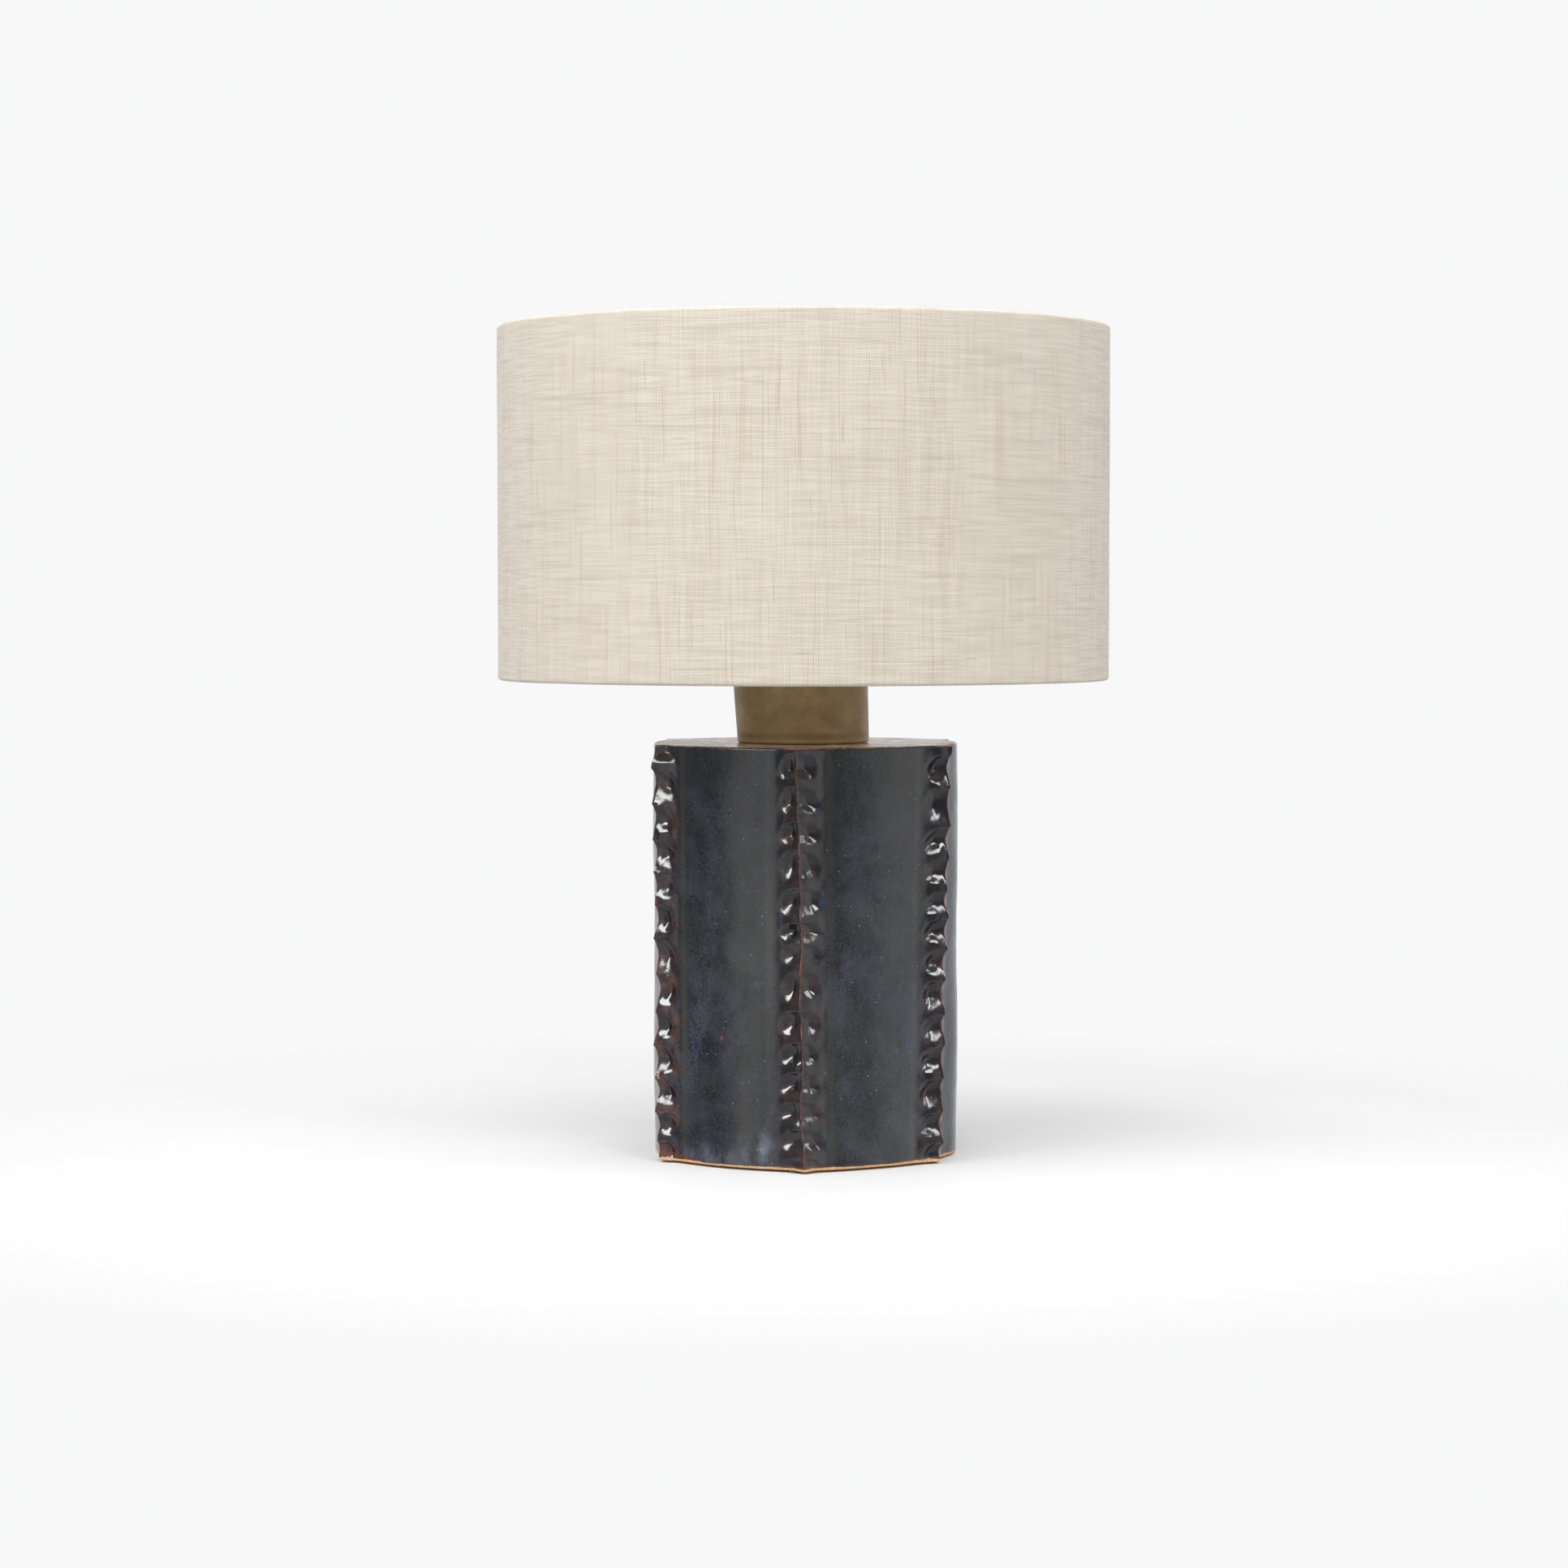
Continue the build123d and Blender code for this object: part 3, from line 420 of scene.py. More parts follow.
def plain(name, low, high, scale, rough, relief=0.0, relief_scale=0):
    """A material whose colour and roughness wander between two values, with a fine relief."""
    look = Look(name)
    cloud = look.clouds(0.35, 0.65, scale, 4, 0.6)
    look.set("Base Color", look.mix(cloud, rgb(*low), rgb(*high)))
    look.set("Roughness", look.span(look.noise(scale * 2.3, 3), 0.3, 0.7, *rough))
    if relief:
        look.bump(look.noise(relief_scale, 4, 0.6), relief, 0.7)
    return look.material


def brushed(name, low, high, rough, grain=(60, 60, 2600)):
    """Metal with fine turning or drawing lines."""
    look = Look(name, Metallic=1.0)
    lines = look.noise(grain, 3, 0.6)
    look.set("Base Color", look.mix(look.span(lines, 0.3, 0.7), rgb(*low), rgb(*high)))
    look.set("Roughness", look.span(lines, 0.3, 0.7, *rough))
    look.bump(lines, 0.03, 0.5)
    return look.material


def felt():
    """Dark, matted fibres."""
    look = Look("felt_fibres", Roughness=0.95, Sheen_Weight=0.4)
    fibres = look.noise(1800, 5, 0.8, warp=2.0)
    look.set("Base Color", look.mix(look.span(fibres, 0.3, 0.7), rgb(28, 28, 30), rgb(72, 70, 70)))
    look.bump(fibres, 0.4, 0.9)
    return look.material


def bare_clay():
    """Unglazed fired stoneware, sandy and warm."""
    look = Look("bare_clay", Roughness=0.85)
    grit = look.noise(1100, 4, 0.75)
    cloud = look.noise(30, 4)
    look.color = look.mix(look.span(cloud, 0.3, 0.7), rgb(182, 140, 98), rgb(206, 168, 124))
    look.paint((120, 88, 62), look.span(grit, 0.5, 0.7), 0.5)
    look.set("Base Color", look.color)
    look.bump(grit, 0.2, 0.8)
    return look.material


GLAZE = dark_glaze()
CLAY = bare_clay()
SLAB = slab_glaze()
NECK = neck_glaze()
LINEN = linen()
FELT = felt()
LINER = plain("liner_film", (226, 223, 216), (238, 236, 230), 9, (0.42, 0.52), 0.05, 900)
WIRE = plain("white_coat", (214, 213, 209), (228, 227, 223), 40, (0.28, 0.4), 0.04, 700)
PLASTIC = plain("holder_plastic", (222, 219, 210), (234, 231, 223), 30, (0.22, 0.34), 0.02, 900)
PORCELAIN = plain("porcelain", (224, 221, 214), (238, 236, 230), 60, (0.18, 0.3), 0.04, 500)
RUBBER = plain("rubber", (18, 18, 19), (34, 34, 35), 120, (0.55, 0.75), 0.05, 1500)
VITRITE = plain("black_glass", (8, 8, 10), (16, 16, 18), 120, (0.08, 0.16))
STEEL = brushed("zinc_steel", (150, 150, 146), (192, 192, 188), (0.26, 0.42), (900, 900, 900))
BRASS = brushed("plate_brass", (150, 118, 62), (188, 154, 92), (0.26, 0.40), (500, 500, 2600))
CONTACT = brushed("contact_brass", (168, 136, 78), (204, 172, 106), (0.24, 0.36))
NICKEL = brushed("nickel", (176, 172, 164), (208, 205, 198), (0.14, 0.26))
SOLDER = brushed("solder", (138, 138, 138), (176, 176, 176), (0.3, 0.5), (400, 400, 400))
PHOSPHOR = plain("phosphor", (224, 176, 74), (240, 200, 100), 300, (0.5, 0.7), 0.05, 2500)
GLASS = Look("clear_glass", Base_Color=(1, 1, 1, 1), IOR=1.47, Transmission_Weight=1.0)
GLASS.set("Roughness", GLASS.span(GLASS.noise(20, 2), 0.3, 0.7, 0.0, 0.02))
GLASS = GLASS.material


# ---- mesh helpers
def new_mesh(name, points, faces, materials, which=None):
    """A mesh from points in mm. which says each face's material."""
    mesh = bpy.data.meshes.new(name)
    mesh.from_pydata((np.asarray(points) * MM).tolist(), [], faces)
    for material in materials:
        mesh.materials.append(material)
    if which is not None:
        mesh.polygons.foreach_set("material_index", np.asarray(which, np.int32))
    return mesh


def placed(name, data):
    """A new object in the scene."""
    made = bpy.data.objects.new(name, data)
    bpy.context.scene.collection.objects.link(made)
    return made


def piece(name, points, faces, materials, body, replaces, marks=None, which=None, sharp=55):
    """A closed mesh riding on a body and standing for some CAD nodes.

    marks are values at its points, and edges over sharp degrees stay crisp.
    """
    mesh = new_mesh(name, points, faces, materials if isinstance(materials, list) else [materials], which)
    for key, values in (marks or {}).items():
        mesh.attributes.new(key, "FLOAT", "POINT").data.foreach_set("value", np.asarray(values, np.float32))
    mesh.shade_smooth()
    mesh.set_sharp_from_angle(angle=math.radians(sharp))
    mesh.update()
    made = placed(name, mesh)
    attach(made, body)
    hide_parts(*replaces)
    return made


def grid_faces(rows, columns, wrap_rows=False, wrap_columns=False, start=0):
    """Quads over a grid of points numbered row by row."""
    faces = []
    for i in range(rows if wrap_rows else rows - 1):
        for j in range(columns if wrap_columns else columns - 1):
            low, high = start + i * columns, start + (i + 1) % rows * columns
            on = (j + 1) % columns
            faces.append((low + j, low + on, high + on, high + j))
    return faces


def zip_faces(first, second, flip=False):
    """Triangles that join two rows of points which start and end side by side."""
    faces, i, j = [], 0, 0
    while i < len(first) - 1 or j < len(second) - 1:
        ahead_i = (i + 1) / (len(first) - 1) if i < len(first) - 1 else 2
        ahead_j = (j + 1) / (len(second) - 1) if j < len(second) - 1 else 2
        if ahead_i <= ahead_j:
            face = (first[i], first[i + 1], second[j])
            i += 1
        else:
            face = (first[i], second[j + 1], second[j])
            j += 1
        faces.append(face[::-1] if flip else face)
    return faces


def lathe(profile, segments, dent=None):
    """Points and quads of a closed profile of (radius, height) turned about Z, going up its outside.

    dent(angles, radius, height) gives what is added to the radius.
    """
    angles = round_angles(segments)
    points = []
    for radius, height in profile:
        r = radius if dent is None else radius + dent(angles, radius, height)
        points.append(round_points(r, angles, height))
    return np.concatenate(points), grid_faces(len(profile), segments, wrap_rows=True, wrap_columns=True)


def arc(centre, radius, start, end, steps):
    """Points of a circular arc in a profile, from one angle to another in degrees."""
    turn = np.radians(np.linspace(start, end, steps))
    return [(centre[0] + radius * math.cos(a), centre[1] + radius * math.sin(a)) for a in turn]


# ---- crimped walls
panel_low, panel_high = node_box("wall_panel_right")
FOOT, TOP = panel_low[2], panel_high[2]
# crest and foot of a ridge from the lamp's axis, and how far beside the seam it ends
TIP, ROOT, ROOT_OFFSET = 111.0, 100.0, 15.0
# a slab bows about a centre behind the axis
BOW_RADIUS, BOW_MIDDLE, THICKNESS = 169.0, 98.2, 7.0
BOW_CENTRE = BOW_MIDDLE - BOW_RADIUS
HALF = math.radians(30)
# the walls' skin, top edges and hidden faces
WALL_MATERIALS = [GLAZE, SLAB, CLAY]


def rib_shape():
    """Height of the pinched edge from one crest edge at 0 to the next at 1: sharp fall, hollow, dome."""
    fine = np.linspace(0, 1, 201)
    steps = np.interp(fine, [0, 0.05, 0.14, 0.32, 0.47, 0.93, 1], [1, 0.72, 0.42, 0.05, 0, 0.96, 1])
    crisp = np.minimum(smooth(0, 0.10, fine), smooth(1, 0.96, fine))
    return fine, softened(steps, 25) * crisp + steps * (1 - crisp)


RIB = rib_shape()


class Ridge:
    """One pinched seam between two wall slabs. drops are the crest edges, in mm below the top edge."""

    def __init__(
        self, degrees, drops, foot_rust, brown=0.5, lean=0.0, soft=1.0, top_shift=(0, 0), foot_shift=(0, 0)
    ):
        rng = random.Random(degrees)
        self.degrees, self.out = degrees, toward(degrees)
        self.along = np.array([-self.out[1], self.out[0]])
        self.lean, self.foot_rust, self.soft, self.brown = lean, foot_rust, soft, brown
        self.top_shift, self.foot_shift = np.array(top_shift, float), np.array(foot_shift, float)
        # one more edge above the top and one below the foot
        self.edges = np.array([drops[0] - 21, *drops, drops[-1] + 20], float)

        def draw(low, high):
            return np.array([rng.uniform(low, high) for _ in self.edges])

        def draw_sides(low, high):
            return {side: draw(low, high) for side in (1, -1)}

        self.crest, self.press, self.kink = draw(-0.5, 0.8), draw(2.7, 4.0), draw(-1.3, 1.3)
        self.fall, self.reach, self.bulge = draw_sides(0.5, 4.0), draw_sides(12.0, 16.5), draw_sides(0.5, 1.7)

    def relief(self, drop, offset, side):
        """How far the surface stands off the plain flank, down a column that is offset from the seam."""
        part = np.clip(offset / ROOT_OFFSET, 0, 1.2)
        edges = self.edges + self.fall[side] * part**1.2
        place = np.interp(drop, edges, np.arange(len(edges)))
        gap = np.minimum(place.astype(int), len(edges) - 2)
        within = place - gap
        nearest = gap + (within > 0.45)
        h = np.interp(within, *RIB)
        reach = np.interp(place, np.arange(len(edges)), self.reach[side])
        # the finger went in deepest at the middle of each hollow, so the hollows end in scallops
        reach = reach * (0.80 + 0.24 * np.sin(np.pi * np.clip(within / 0.9, 0, 1)))
        weight = 1 - smooth(reach - 7.5, reach + 0.5, offset)
        dome = np.sin(np.pi * np.clip(offset / (reach - 1.5), 0, 1))
        hollow = -self.press[gap] * (0.82 + 0.35 * dome)
        # below each hollow the flank swells like a small cushion before it ends in the next edge
        swell = np.exp(-(((within - 0.74) / 0.19) ** 2)) * dome**0.8 * self.bulge[side][nearest]
        lip = 0.3 * np.exp(-((np.minimum(within, 1 - within) / 0.035) ** 2))
        raised = (hollow + (self.crest[nearest] - hollow) * h + swell + lip) * weight
        return raised * (1 - (1 - self.soft) * smooth(0, 5, offset)) if side > 0 else raised

    def shift(self, drop, offset):
        """How far the slabs' joint stands from the plain hexagon's corner, as points across the lamp."""
        kinks = np.interp(drop, self.edges, self.kink) + self.lean * smooth(75, 0, drop)
        kinks = kinks * smooth(14, 0, offset)
        down = (drop / (TOP - FOOT))[:, None]
        whole = (self.top_shift * (1 - down) + self.foot_shift * down) * smooth(46, 4, offset)
        return np.outer(kinks + whole[:, 0], self.along) + np.outer(whole[:, 1], self.out)


def spread(start, pitch):
    """Crest edges of a guessed ridge, nearly evenly spaced from a start below the top edge."""
    rng = random.Random(int(start * 10))
    return [start + pitch * k + rng.uniform(-2, 2) for k in range(12)]


RIDGES = {
    ridge.degrees: ridge
    for ridge in (
        Ridge(210, (15, 38, 61, 82, 103, 125, 148, 172, 194, 215, 237, 256), foot_rust=1.0, brown=1.0,
              top_shift=(4, 0.5), foot_shift=(6, -1.5)),
        Ridge(270, (24, 46, 64, 88, 110, 123, 141, 166, 186, 205, 224, 241, 259), foot_rust=0.3, brown=0.4,
              top_shift=(2.5, 0), foot_shift=(5, 0), lean=-2.6, soft=0.75),
        Ridge(330, (27, 52, 73, 94, 111, 131, 151, 173, 193, 214, 236, 256), foot_rust=0.3, brown=0.25,
              top_shift=(2, 0.5), foot_shift=(-4.5, -2.5)),
        Ridge(30, spread(19.0, 20.4), foot_rust=0.4),
        Ridge(90, spread(23.0, 20.1), foot_rust=0.6),
        Ridge(150, spread(17.0, 20.6), foot_rust=0.5),
    )
}

# the cord outlet, low in the middle of one of the back walls
OUTLET_WALL = 60
OUTLET_SLEEVE = 5.55
OUTLET_HEIGHT = sum(corner[2] for corner in node_box("cable_grommet")) / 2
OUTLET = np.array([*(BOW_MIDDLE * toward(OUTLET_WALL)), OUTLET_HEIGHT])
# a wall's rounded foot and top edge: distance from the edge, and how far the row is set in
FOOT_ROUNDING = ((0, 1.1), (0.15, 0.5), (0.5, 0.15), (1.0, 0))
TOP_ROUNDING = ((1.6, 0.04), (1.1, 0.15), (0.65, 0.36), (0.3, 0.7), (0.08, 1.15), (0, 1.6))
# unevenness of the clay: size of its features, seed, height, and the offsets from the seam where it ends
# and where it is full
UNEVEN = ((8.5, 4, 0.75, (18, 10)), (3.8, 7, 0.13, (17, 9)), (58, 9, 1.1, None), (19, 2, 0.24, None))


def bow_edge(radius, off=HALF):
    """Lamp axis to an arc of that radius about the bow's centre, at an angle off the slab's middle."""
    lean = -BOW_CENTRE * np.cos(off)
    return -lean + np.sqrt(lean**2 - BOW_CENTRE**2 + radius**2)


def panel_outline():
    """The plain outline of a slab whose normal is +X: points 0.1 mm apart from one crest to the other."""
    out_x, out_y = toward(30)
    root = ROOT * out_x + ROOT_OFFSET * out_y, ROOT * out_y - ROOT_OFFSET * out_x
    tip = TIP * toward(30)
    centre = np.array([BOW_CENTRE, 0])
    span = math.atan2(root[1], root[0] - BOW_CENTRE)
    turn = np.linspace(-span, span, 200)
    bow = centre + BOW_RADIUS * np.column_stack([np.cos(turn), np.sin(turn)])
    line = np.vstack([tip * (1, -1), bow, tip])
    length = np.concatenate([[0], np.cumsum(np.linalg.norm(np.diff(line, axis=0), axis=1))])
    fine = np.linspace(0, length[-1], int(length[-1] / 0.1))
    even = np.column_stack([np.interp(fine, length, line[:, k]) for k in (0, 1)])
    soft = np.column_stack([softened(even[:, k], 91) for k in (0, 1)])
    keep = smooth(7, 12, np.minimum(fine, fine[-1] - fine))[:, None]
    return fine, even * (1 - keep) + soft * keep


def inner_face():
    """Points across the plain inner face of a slab whose normal is +X."""
    radius = BOW_RADIUS - THICKNESS
    sweep = math.asin(bow_edge(radius) * math.sin(HALF) / radius)
    swing = np.linspace(-sweep, sweep, 17)
    return np.column_stack([BOW_CENTRE + radius * np.cos(swing), radius * np.sin(swing)])


def wall_columns(length):
    """Places along the outline: close together on the ridges and further apart on the bow."""
    half = [0, 0.35, 0.75, 1.2, 1.8]
    while half[-1] < length / 2 - 1.4:
        half.append(half[-1] + (0.7 if half[-1] < 20 else 1.4))
    return np.array(half + [length - s for s in half[::-1]])


def wall_rows():
    """Heights above the foot, and how far each row is set in."""
    rows = [*FOOT_ROUNDING, *((z, 0) for z in np.arange(2, TOP - FOOT - 2.2, 0.95))]
    return np.array(rows + [(TOP - FOOT - below, inward) for below, inward in TOP_ROUNDING]).T


def unevenness(column, offset):
    """How far the clay strays out of true at a column's points."""
    stray = 0
    for size, seed, height, ends in UNEVEN:
        stray = stray + wander(*column.T, size, seed) * height * (smooth(*ends, offset) if ends else 1)
    return stray


def glaze_marks(points, base, up, offsets, fin, first, last):
    """How the glaze lies on a wall's skin: six values from 0 to 1 at each point."""
    # where the surface is convex the glaze is thin
    p = np.pad(points, ((1, 1), (1, 1), (0, 0)), mode="edge")
    near = (p[:-2, 1:-1] + p[2:, 1:-1] + p[1:-1, :-2] + p[1:-1, 2:]) / 4
    across, upward = p[1:-1, 2:] - p[1:-1, :-2], p[2:, 1:-1] - p[:-2, 1:-1]
    facing = np.cross(across, upward)
    facing /= np.linalg.norm(facing, axis=2)[..., None] + 1e-9
    convex = np.clip(np.einsum("ijk,ijk->ij", points - near, facing) / 0.30 - 0.2, 0, 1)
    brown = np.full(offsets.shape, last.brown)
    brown[:, : len(base) // 2] = first.brown
    thin = convex * smooth(14.5, 10, offsets) * (0.35 + 0.55 * brown)
    thin = np.maximum(thin, 0.85 * np.exp(-((offsets / 0.45) ** 2)))
    thin = np.maximum(thin, 0.9 * smooth(1.6, 0.5, TOP - FOOT - up)[:, None])
    # rust and bare clay at the foot, higher near the ridges
    from_first, from_last = np.abs(base @ first.along), np.abs(base @ last.along)
    rust = first.foot_rust * smooth(40, 0, from_first) + last.foot_rust * smooth(40, 0, from_last)
    foot = np.clip(1 - up[:, None] / (3.0 + 6.0 * rust), 0, 1)
    foot = np.where(up[:, None] < 1.2, np.maximum(foot, 0.75), np.minimum(foot, 0.48))
    # runs beside the ridges
    streak = smooth(15, 19, offsets) * smooth(24, 19, offsets)
    beside = smooth(15, 19, offsets) * smooth(27, 21, offsets) * 0.6
    band = np.maximum(beside, smooth(18, 26, from_last) * smooth(46, 34, from_last))
    return {"thin": thin, "fin": fin, "band": band, "streak": streak, "foot": foot, "brown": brown}


def wall(name, degrees, fullness=0.0):
    """One wall slab with half a pinched ridge at each side, its middle fuller by some mm."""
    spin = np.column_stack([toward(degrees), toward(degrees + 90)])
    fine, outline = panel_outline()
    outline = outline @ spin.T
    first, last = RIDGES[(degrees - 30) % 360], RIDGES[(degrees + 30) % 360]
    columns = wall_columns(fine[-1])
    base = np.column_stack([np.interp(columns, fine, outline[:, k]) for k in (0, 1)])
    tangent = np.gradient(base, columns, axis=0)
    normal = np.column_stack([tangent[:, 1], -tangent[:, 0]])
    normal /= np.linalg.norm(normal, axis=1)[:, None]
    up, inset = wall_rows()
    drop = TOP - FOOT - up
    points = np.empty((len(up), len(columns), 3))
    fin, offsets = np.empty(points.shape[:2]), np.empty(points.shape[:2])
    for j, plain_place in enumerate(base):
        ridge, other, side = (first, last, 1) if j < len(columns) // 2 else (last, first, -1)
        offset = abs(plain_place @ ridge.along)
        # a column moves out along its ridge on the ridge, and square to the slab elsewhere
        square = smooth(1, 9, offset)
        out = normal[j] * square + ridge.out * (1 - square)
        out /= np.linalg.norm(out)
        push = ridge.relief(drop, offset, side)
        # the seam's fine crest, the spread foot and the full middle
        push += 0.45 * math.exp(-((offset / 0.6) ** 2))
        push += 1.5 * smooth(9, 0, up) * smooth(13, 5, offset)
        push += fullness * smooth(12, 40, min(offset, abs(plain_place @ other.along)))
        column = points[:, j]
        column[:, :2] = plain_place + np.outer(push - inset, out) + ridge.shift(drop, offset)
        column[:, 2] = FOOT + up
        stray = unevenness(column, offset)
        if degrees == OUTLET_WALL:
            # flat where the grommet's flange sits
            stray *= smooth(10, 26, np.linalg.norm(column - OUTLET, axis=1))
        column[:, :2] += np.outer(stray, out)
        fin[:, j] = smooth(18.5, 10.0, offset + 3.5 * wander(*column.T, 11.0, 6.0))
        offsets[:, j] = offset
    marks = glaze_marks(points, base, up, offsets, fin, first, last)
    inner = inner_face() @ spin.T
    levels = np.linspace(FOOT, TOP, 68)
    lining = np.concatenate([np.column_stack([inner, np.full(len(inner), z)]) for z in levels])
    outer = points.reshape(-1, 3)
    index = np.arange(len(outer)).reshape(len(up), len(columns))
    inside = len(outer) + np.arange(len(lining)).reshape(len(levels), len(inner))
    skin = grid_faces(len(up), len(columns))
    top = zip_faces(index[-1].tolist(), inside[-1].tolist())
    hidden = zip_faces(index[0].tolist(), inside[0].tolist(), flip=True)
    hidden += zip_faces(index[:, 0].tolist(), inside[:, 0].tolist(), flip=True)
    hidden += zip_faces(index[:, -1].tolist(), inside[:, -1].tolist())
    hidden += [face[::-1] for face in grid_faces(len(levels), len(inner), start=len(outer))]
    marks = {key: np.concatenate([value.ravel(), np.zeros(len(lining))]) for key, value in marks.items()}
    which = [0] * len(skin) + [1] * len(top) + [2] * len(hidden)
    everything, node = np.vstack([outer, lining]), name.replace("glazed_", "")
    made = piece(name, everything, skin + top + hidden, WALL_MATERIALS, "base", [node], marks, which)
    if degrees == OUTLET_WALL:
        bore(made)
    return made


def bore(wall_piece):
    """Cuts the round hole for the grommet's sleeve through a wall."""
    sides, reach = 48, 15
    turn = round_angles(sides)
    out = np.array([*toward(OUTLET_WALL), 0])
    side = np.array([-out[1], out[0], 0])
    ring = OUTLET_SLEEVE * (np.outer(np.cos(turn), side) + np.outer(np.sin(turn), (0, 0, 1)))
    ends = [OUTLET + ring - reach * out, OUTLET + ring + reach * out]
    faces = [tuple(range(sides))[::-1], tuple(range(sides, 2 * sides))]
    faces += [(k, (k + 1) % sides, sides + (k + 1) % sides, sides + k) for k in range(sides)]
    which = [WALL_MATERIALS.index(CLAY)] * len(faces)
    drill = placed("bore", new_mesh("bore", np.vstack(ends), faces, WALL_MATERIALS, which))
    cut = wall_piece.modifiers.new("bore", "BOOLEAN")
    cut.operation, cut.solver, cut.object = "DIFFERENCE", "EXACT", drill
    made = bpy.data.meshes.new_from_object(wall_piece.evaluated_get(bpy.context.evaluated_depsgraph_get()))
    wall_piece.modifiers.clear()
    wall_piece.data = made
    bpy.data.objects.remove(drill)


wall("glazed_wall_panel_right", 0, fullness=3.0)
wall("glazed_wall_panel_back_right", 60)
wall("glazed_wall_panel_back_left", 120)
wall("glazed_wall_panel_left", 180)
wall("glazed_wall_panel_front_left", 240)
wall("glazed_wall_panel_front_right", 300)


# ---- top slab and neck
def top_slab():
    """The slab set in flush between the walls, its glaze slightly wavy."""
    low, high = node_box("top_slab")
    rings, hole = 24, 6.0
    angles = round_angles(180)
    edge = bow_edge(BOW_RADIUS - THICKNESS, (angles + HALF) % (2 * HALF) - HALF)
    points = []
    for k in range(rings):
        r = hole + (edge - hole) * k / (rings - 1)
        wave = wander(*round_points(r, angles, 0.0).T, 30.0, 3.0) * 0.25 * smooth(0, 12, edge - r)
        points.append(round_points(r, angles, high[2] - 0.25 * smooth(0, 8, edge - r) + wave))
    points += [round_points(edge, angles, low[2]), round_points(hole, angles, low[2])]
    faces = [face[::-1] for face in grid_faces(rings + 2, len(angles), wrap_rows=True, wrap_columns=True)]
    which = [0] * ((rings - 1) * len(angles)) + [1] * (3 * len(angles))
    points = np.concatenate(points)
    made = piece("glazed_top_slab", points, faces, [SLAB, CLAY], "base", ["top_slab"], which=which)


top_slab()


def neck():
    """The thrown neck: slightly out of round, leaning a little, with softened edges."""
    low, high = node_box("neck_collar")
    bottom, top = low[2], high[2]
    foot_r, top_r, thick = 43.0, 44.2, 6.0
    heights = np.linspace(bottom + 2.0, top - 2.4, 30)
    profile = [(foot_r - 1.6, bottom), (foot_r - 0.7, bottom + 0.25), (foot_r - 0.15, bottom + 0.9)]
    profile += [(foot_r + (top_r - foot_r) * (z - bottom) / (top - bottom), z) for z in heights]
    profile += arc((top_r - 2.0, top - 2.0), 2.0, 8, 90, 8)
    profile += arc((top_r - thick + 1.5, top - 1.5), 1.5, 90, 180, 6)
    profile += [(foot_r - thick, z) for z in np.linspace(top - 6, bottom, 6)]

    def dent(angles, radius, height):
        wobble = wander(*round_points(radius, angles, height).T, 40.0, 5.0) * 0.35
        return wobble + 0.25 * np.cos(2 * angles + 0.6)

    points, faces = lathe(profile, 192, dent)
    points[:, 0] -= 2.0 * (points[:, 2] - bottom) / (top - bottom)
    made = piece("glazed_neck", points, faces, NECK, "base", ["neck_collar"])


neck()


# ---- shade
ARMS = (90, 210, 330)


def shade():
    """The linen, wrapped round the two wire rings, and the stiff film that it is laminated to."""
    low, high = node_box("shade_fabric")
    bottom, top, radius = low[2], high[2], high[0]
    wire = 1.5
    ring = node_box("lower_wire_ring")[1][0] - wire
    cloth, wrap, turn_in, film = 0.6, 2.1, 10.0, 0.6
    lower, upper = bottom + wrap, top - wrap

    def rolled(height, start, end, steps):
        """The edge rolled over a wire, from the outer face to the inner one."""
        out = []
        for a in np.radians(np.linspace(start, end, steps)):
            reach = radius - ring if math.cos(a) > 0 else wrap
            out.append((ring + reach * math.cos(a), height + wrap * math.sin(a)))
        return out

    def lined(r, start, end, steps):
        return [(r, z) for z in np.linspace(start, end, steps)]

    profile = lined(radius, lower + 0.6, upper - 0.6, 64) + rolled(upper, 10, 170, 16)
    profile += lined(ring - wrap, upper - 1, top - turn_in, 5)
    profile += lined(ring - wrap + cloth, top - turn_in, upper - 0.5, 5)
    profile += lined(radius - cloth, upper - 0.5, lower + 0.5, 12)
    profile += lined(ring - wrap + cloth, lower + 0.5, bottom + turn_in, 5)
    profile += lined(ring - wrap, bottom + turn_in, lower + 1, 5) + rolled(lower, -170, -10, 16)
    segments = 504

    def dent(angles, r, z):
        if r < radius:
            return 0.0
        wave = wander(*round_points(r, angles, z).T, 70.0, 8.0) * 0.35
        return wave * smooth(lower, lower + 20, z) * smooth(upper, upper - 20, z)

    points, faces = lathe(profile, segments, dent)
    # the turned-in hem is notched where a spider arm reaches the lower ring
    angle = np.arctan2(points[:, 1], points[:, 0])
    turns = angle[:, None] - np.radians(ARMS) + math.pi
    gap = np.abs(turns % (2 * math.pi) - math.pi).min(axis=1) * ring
    hem = (np.hypot(points[:, 0], points[:, 1]) < ring - 1) & (points[:, 2] < bottom + turn_in + 1)
    allowed = bottom + 3.2 + (turn_in - 3.2) * smooth(2.2, 3.6, gap)
    points[:, 2] = np.where(hem, np.minimum(points[:, 2], np.maximum(allowed, lower - 1)), points[:, 2])
    fabric = piece("linen_shade", points, faces, LINEN, "shade", ["shade_fabric"], sharp=75)
    outer = radius - cloth - 0.02
    lining = lined(outer, bottom + 1.2, top - 1.2, 12) + lined(outer - film, top - 1.2, bottom + 1.2, 12)
    points, faces = lathe(lining, segments)
    made = piece("shade_film", points, faces, LINER, "shade", ["shade_liner"])
    for name, height in (("lower_hoop", lower), ("upper_hoop", upper)):
        points, faces = lathe(arc((ring, height), wire - 0.05, -90, 252, 20), 240)
        made = piece(name, points, faces, WIRE, "shade", [name.replace("hoop", "wire_ring")])


shade()


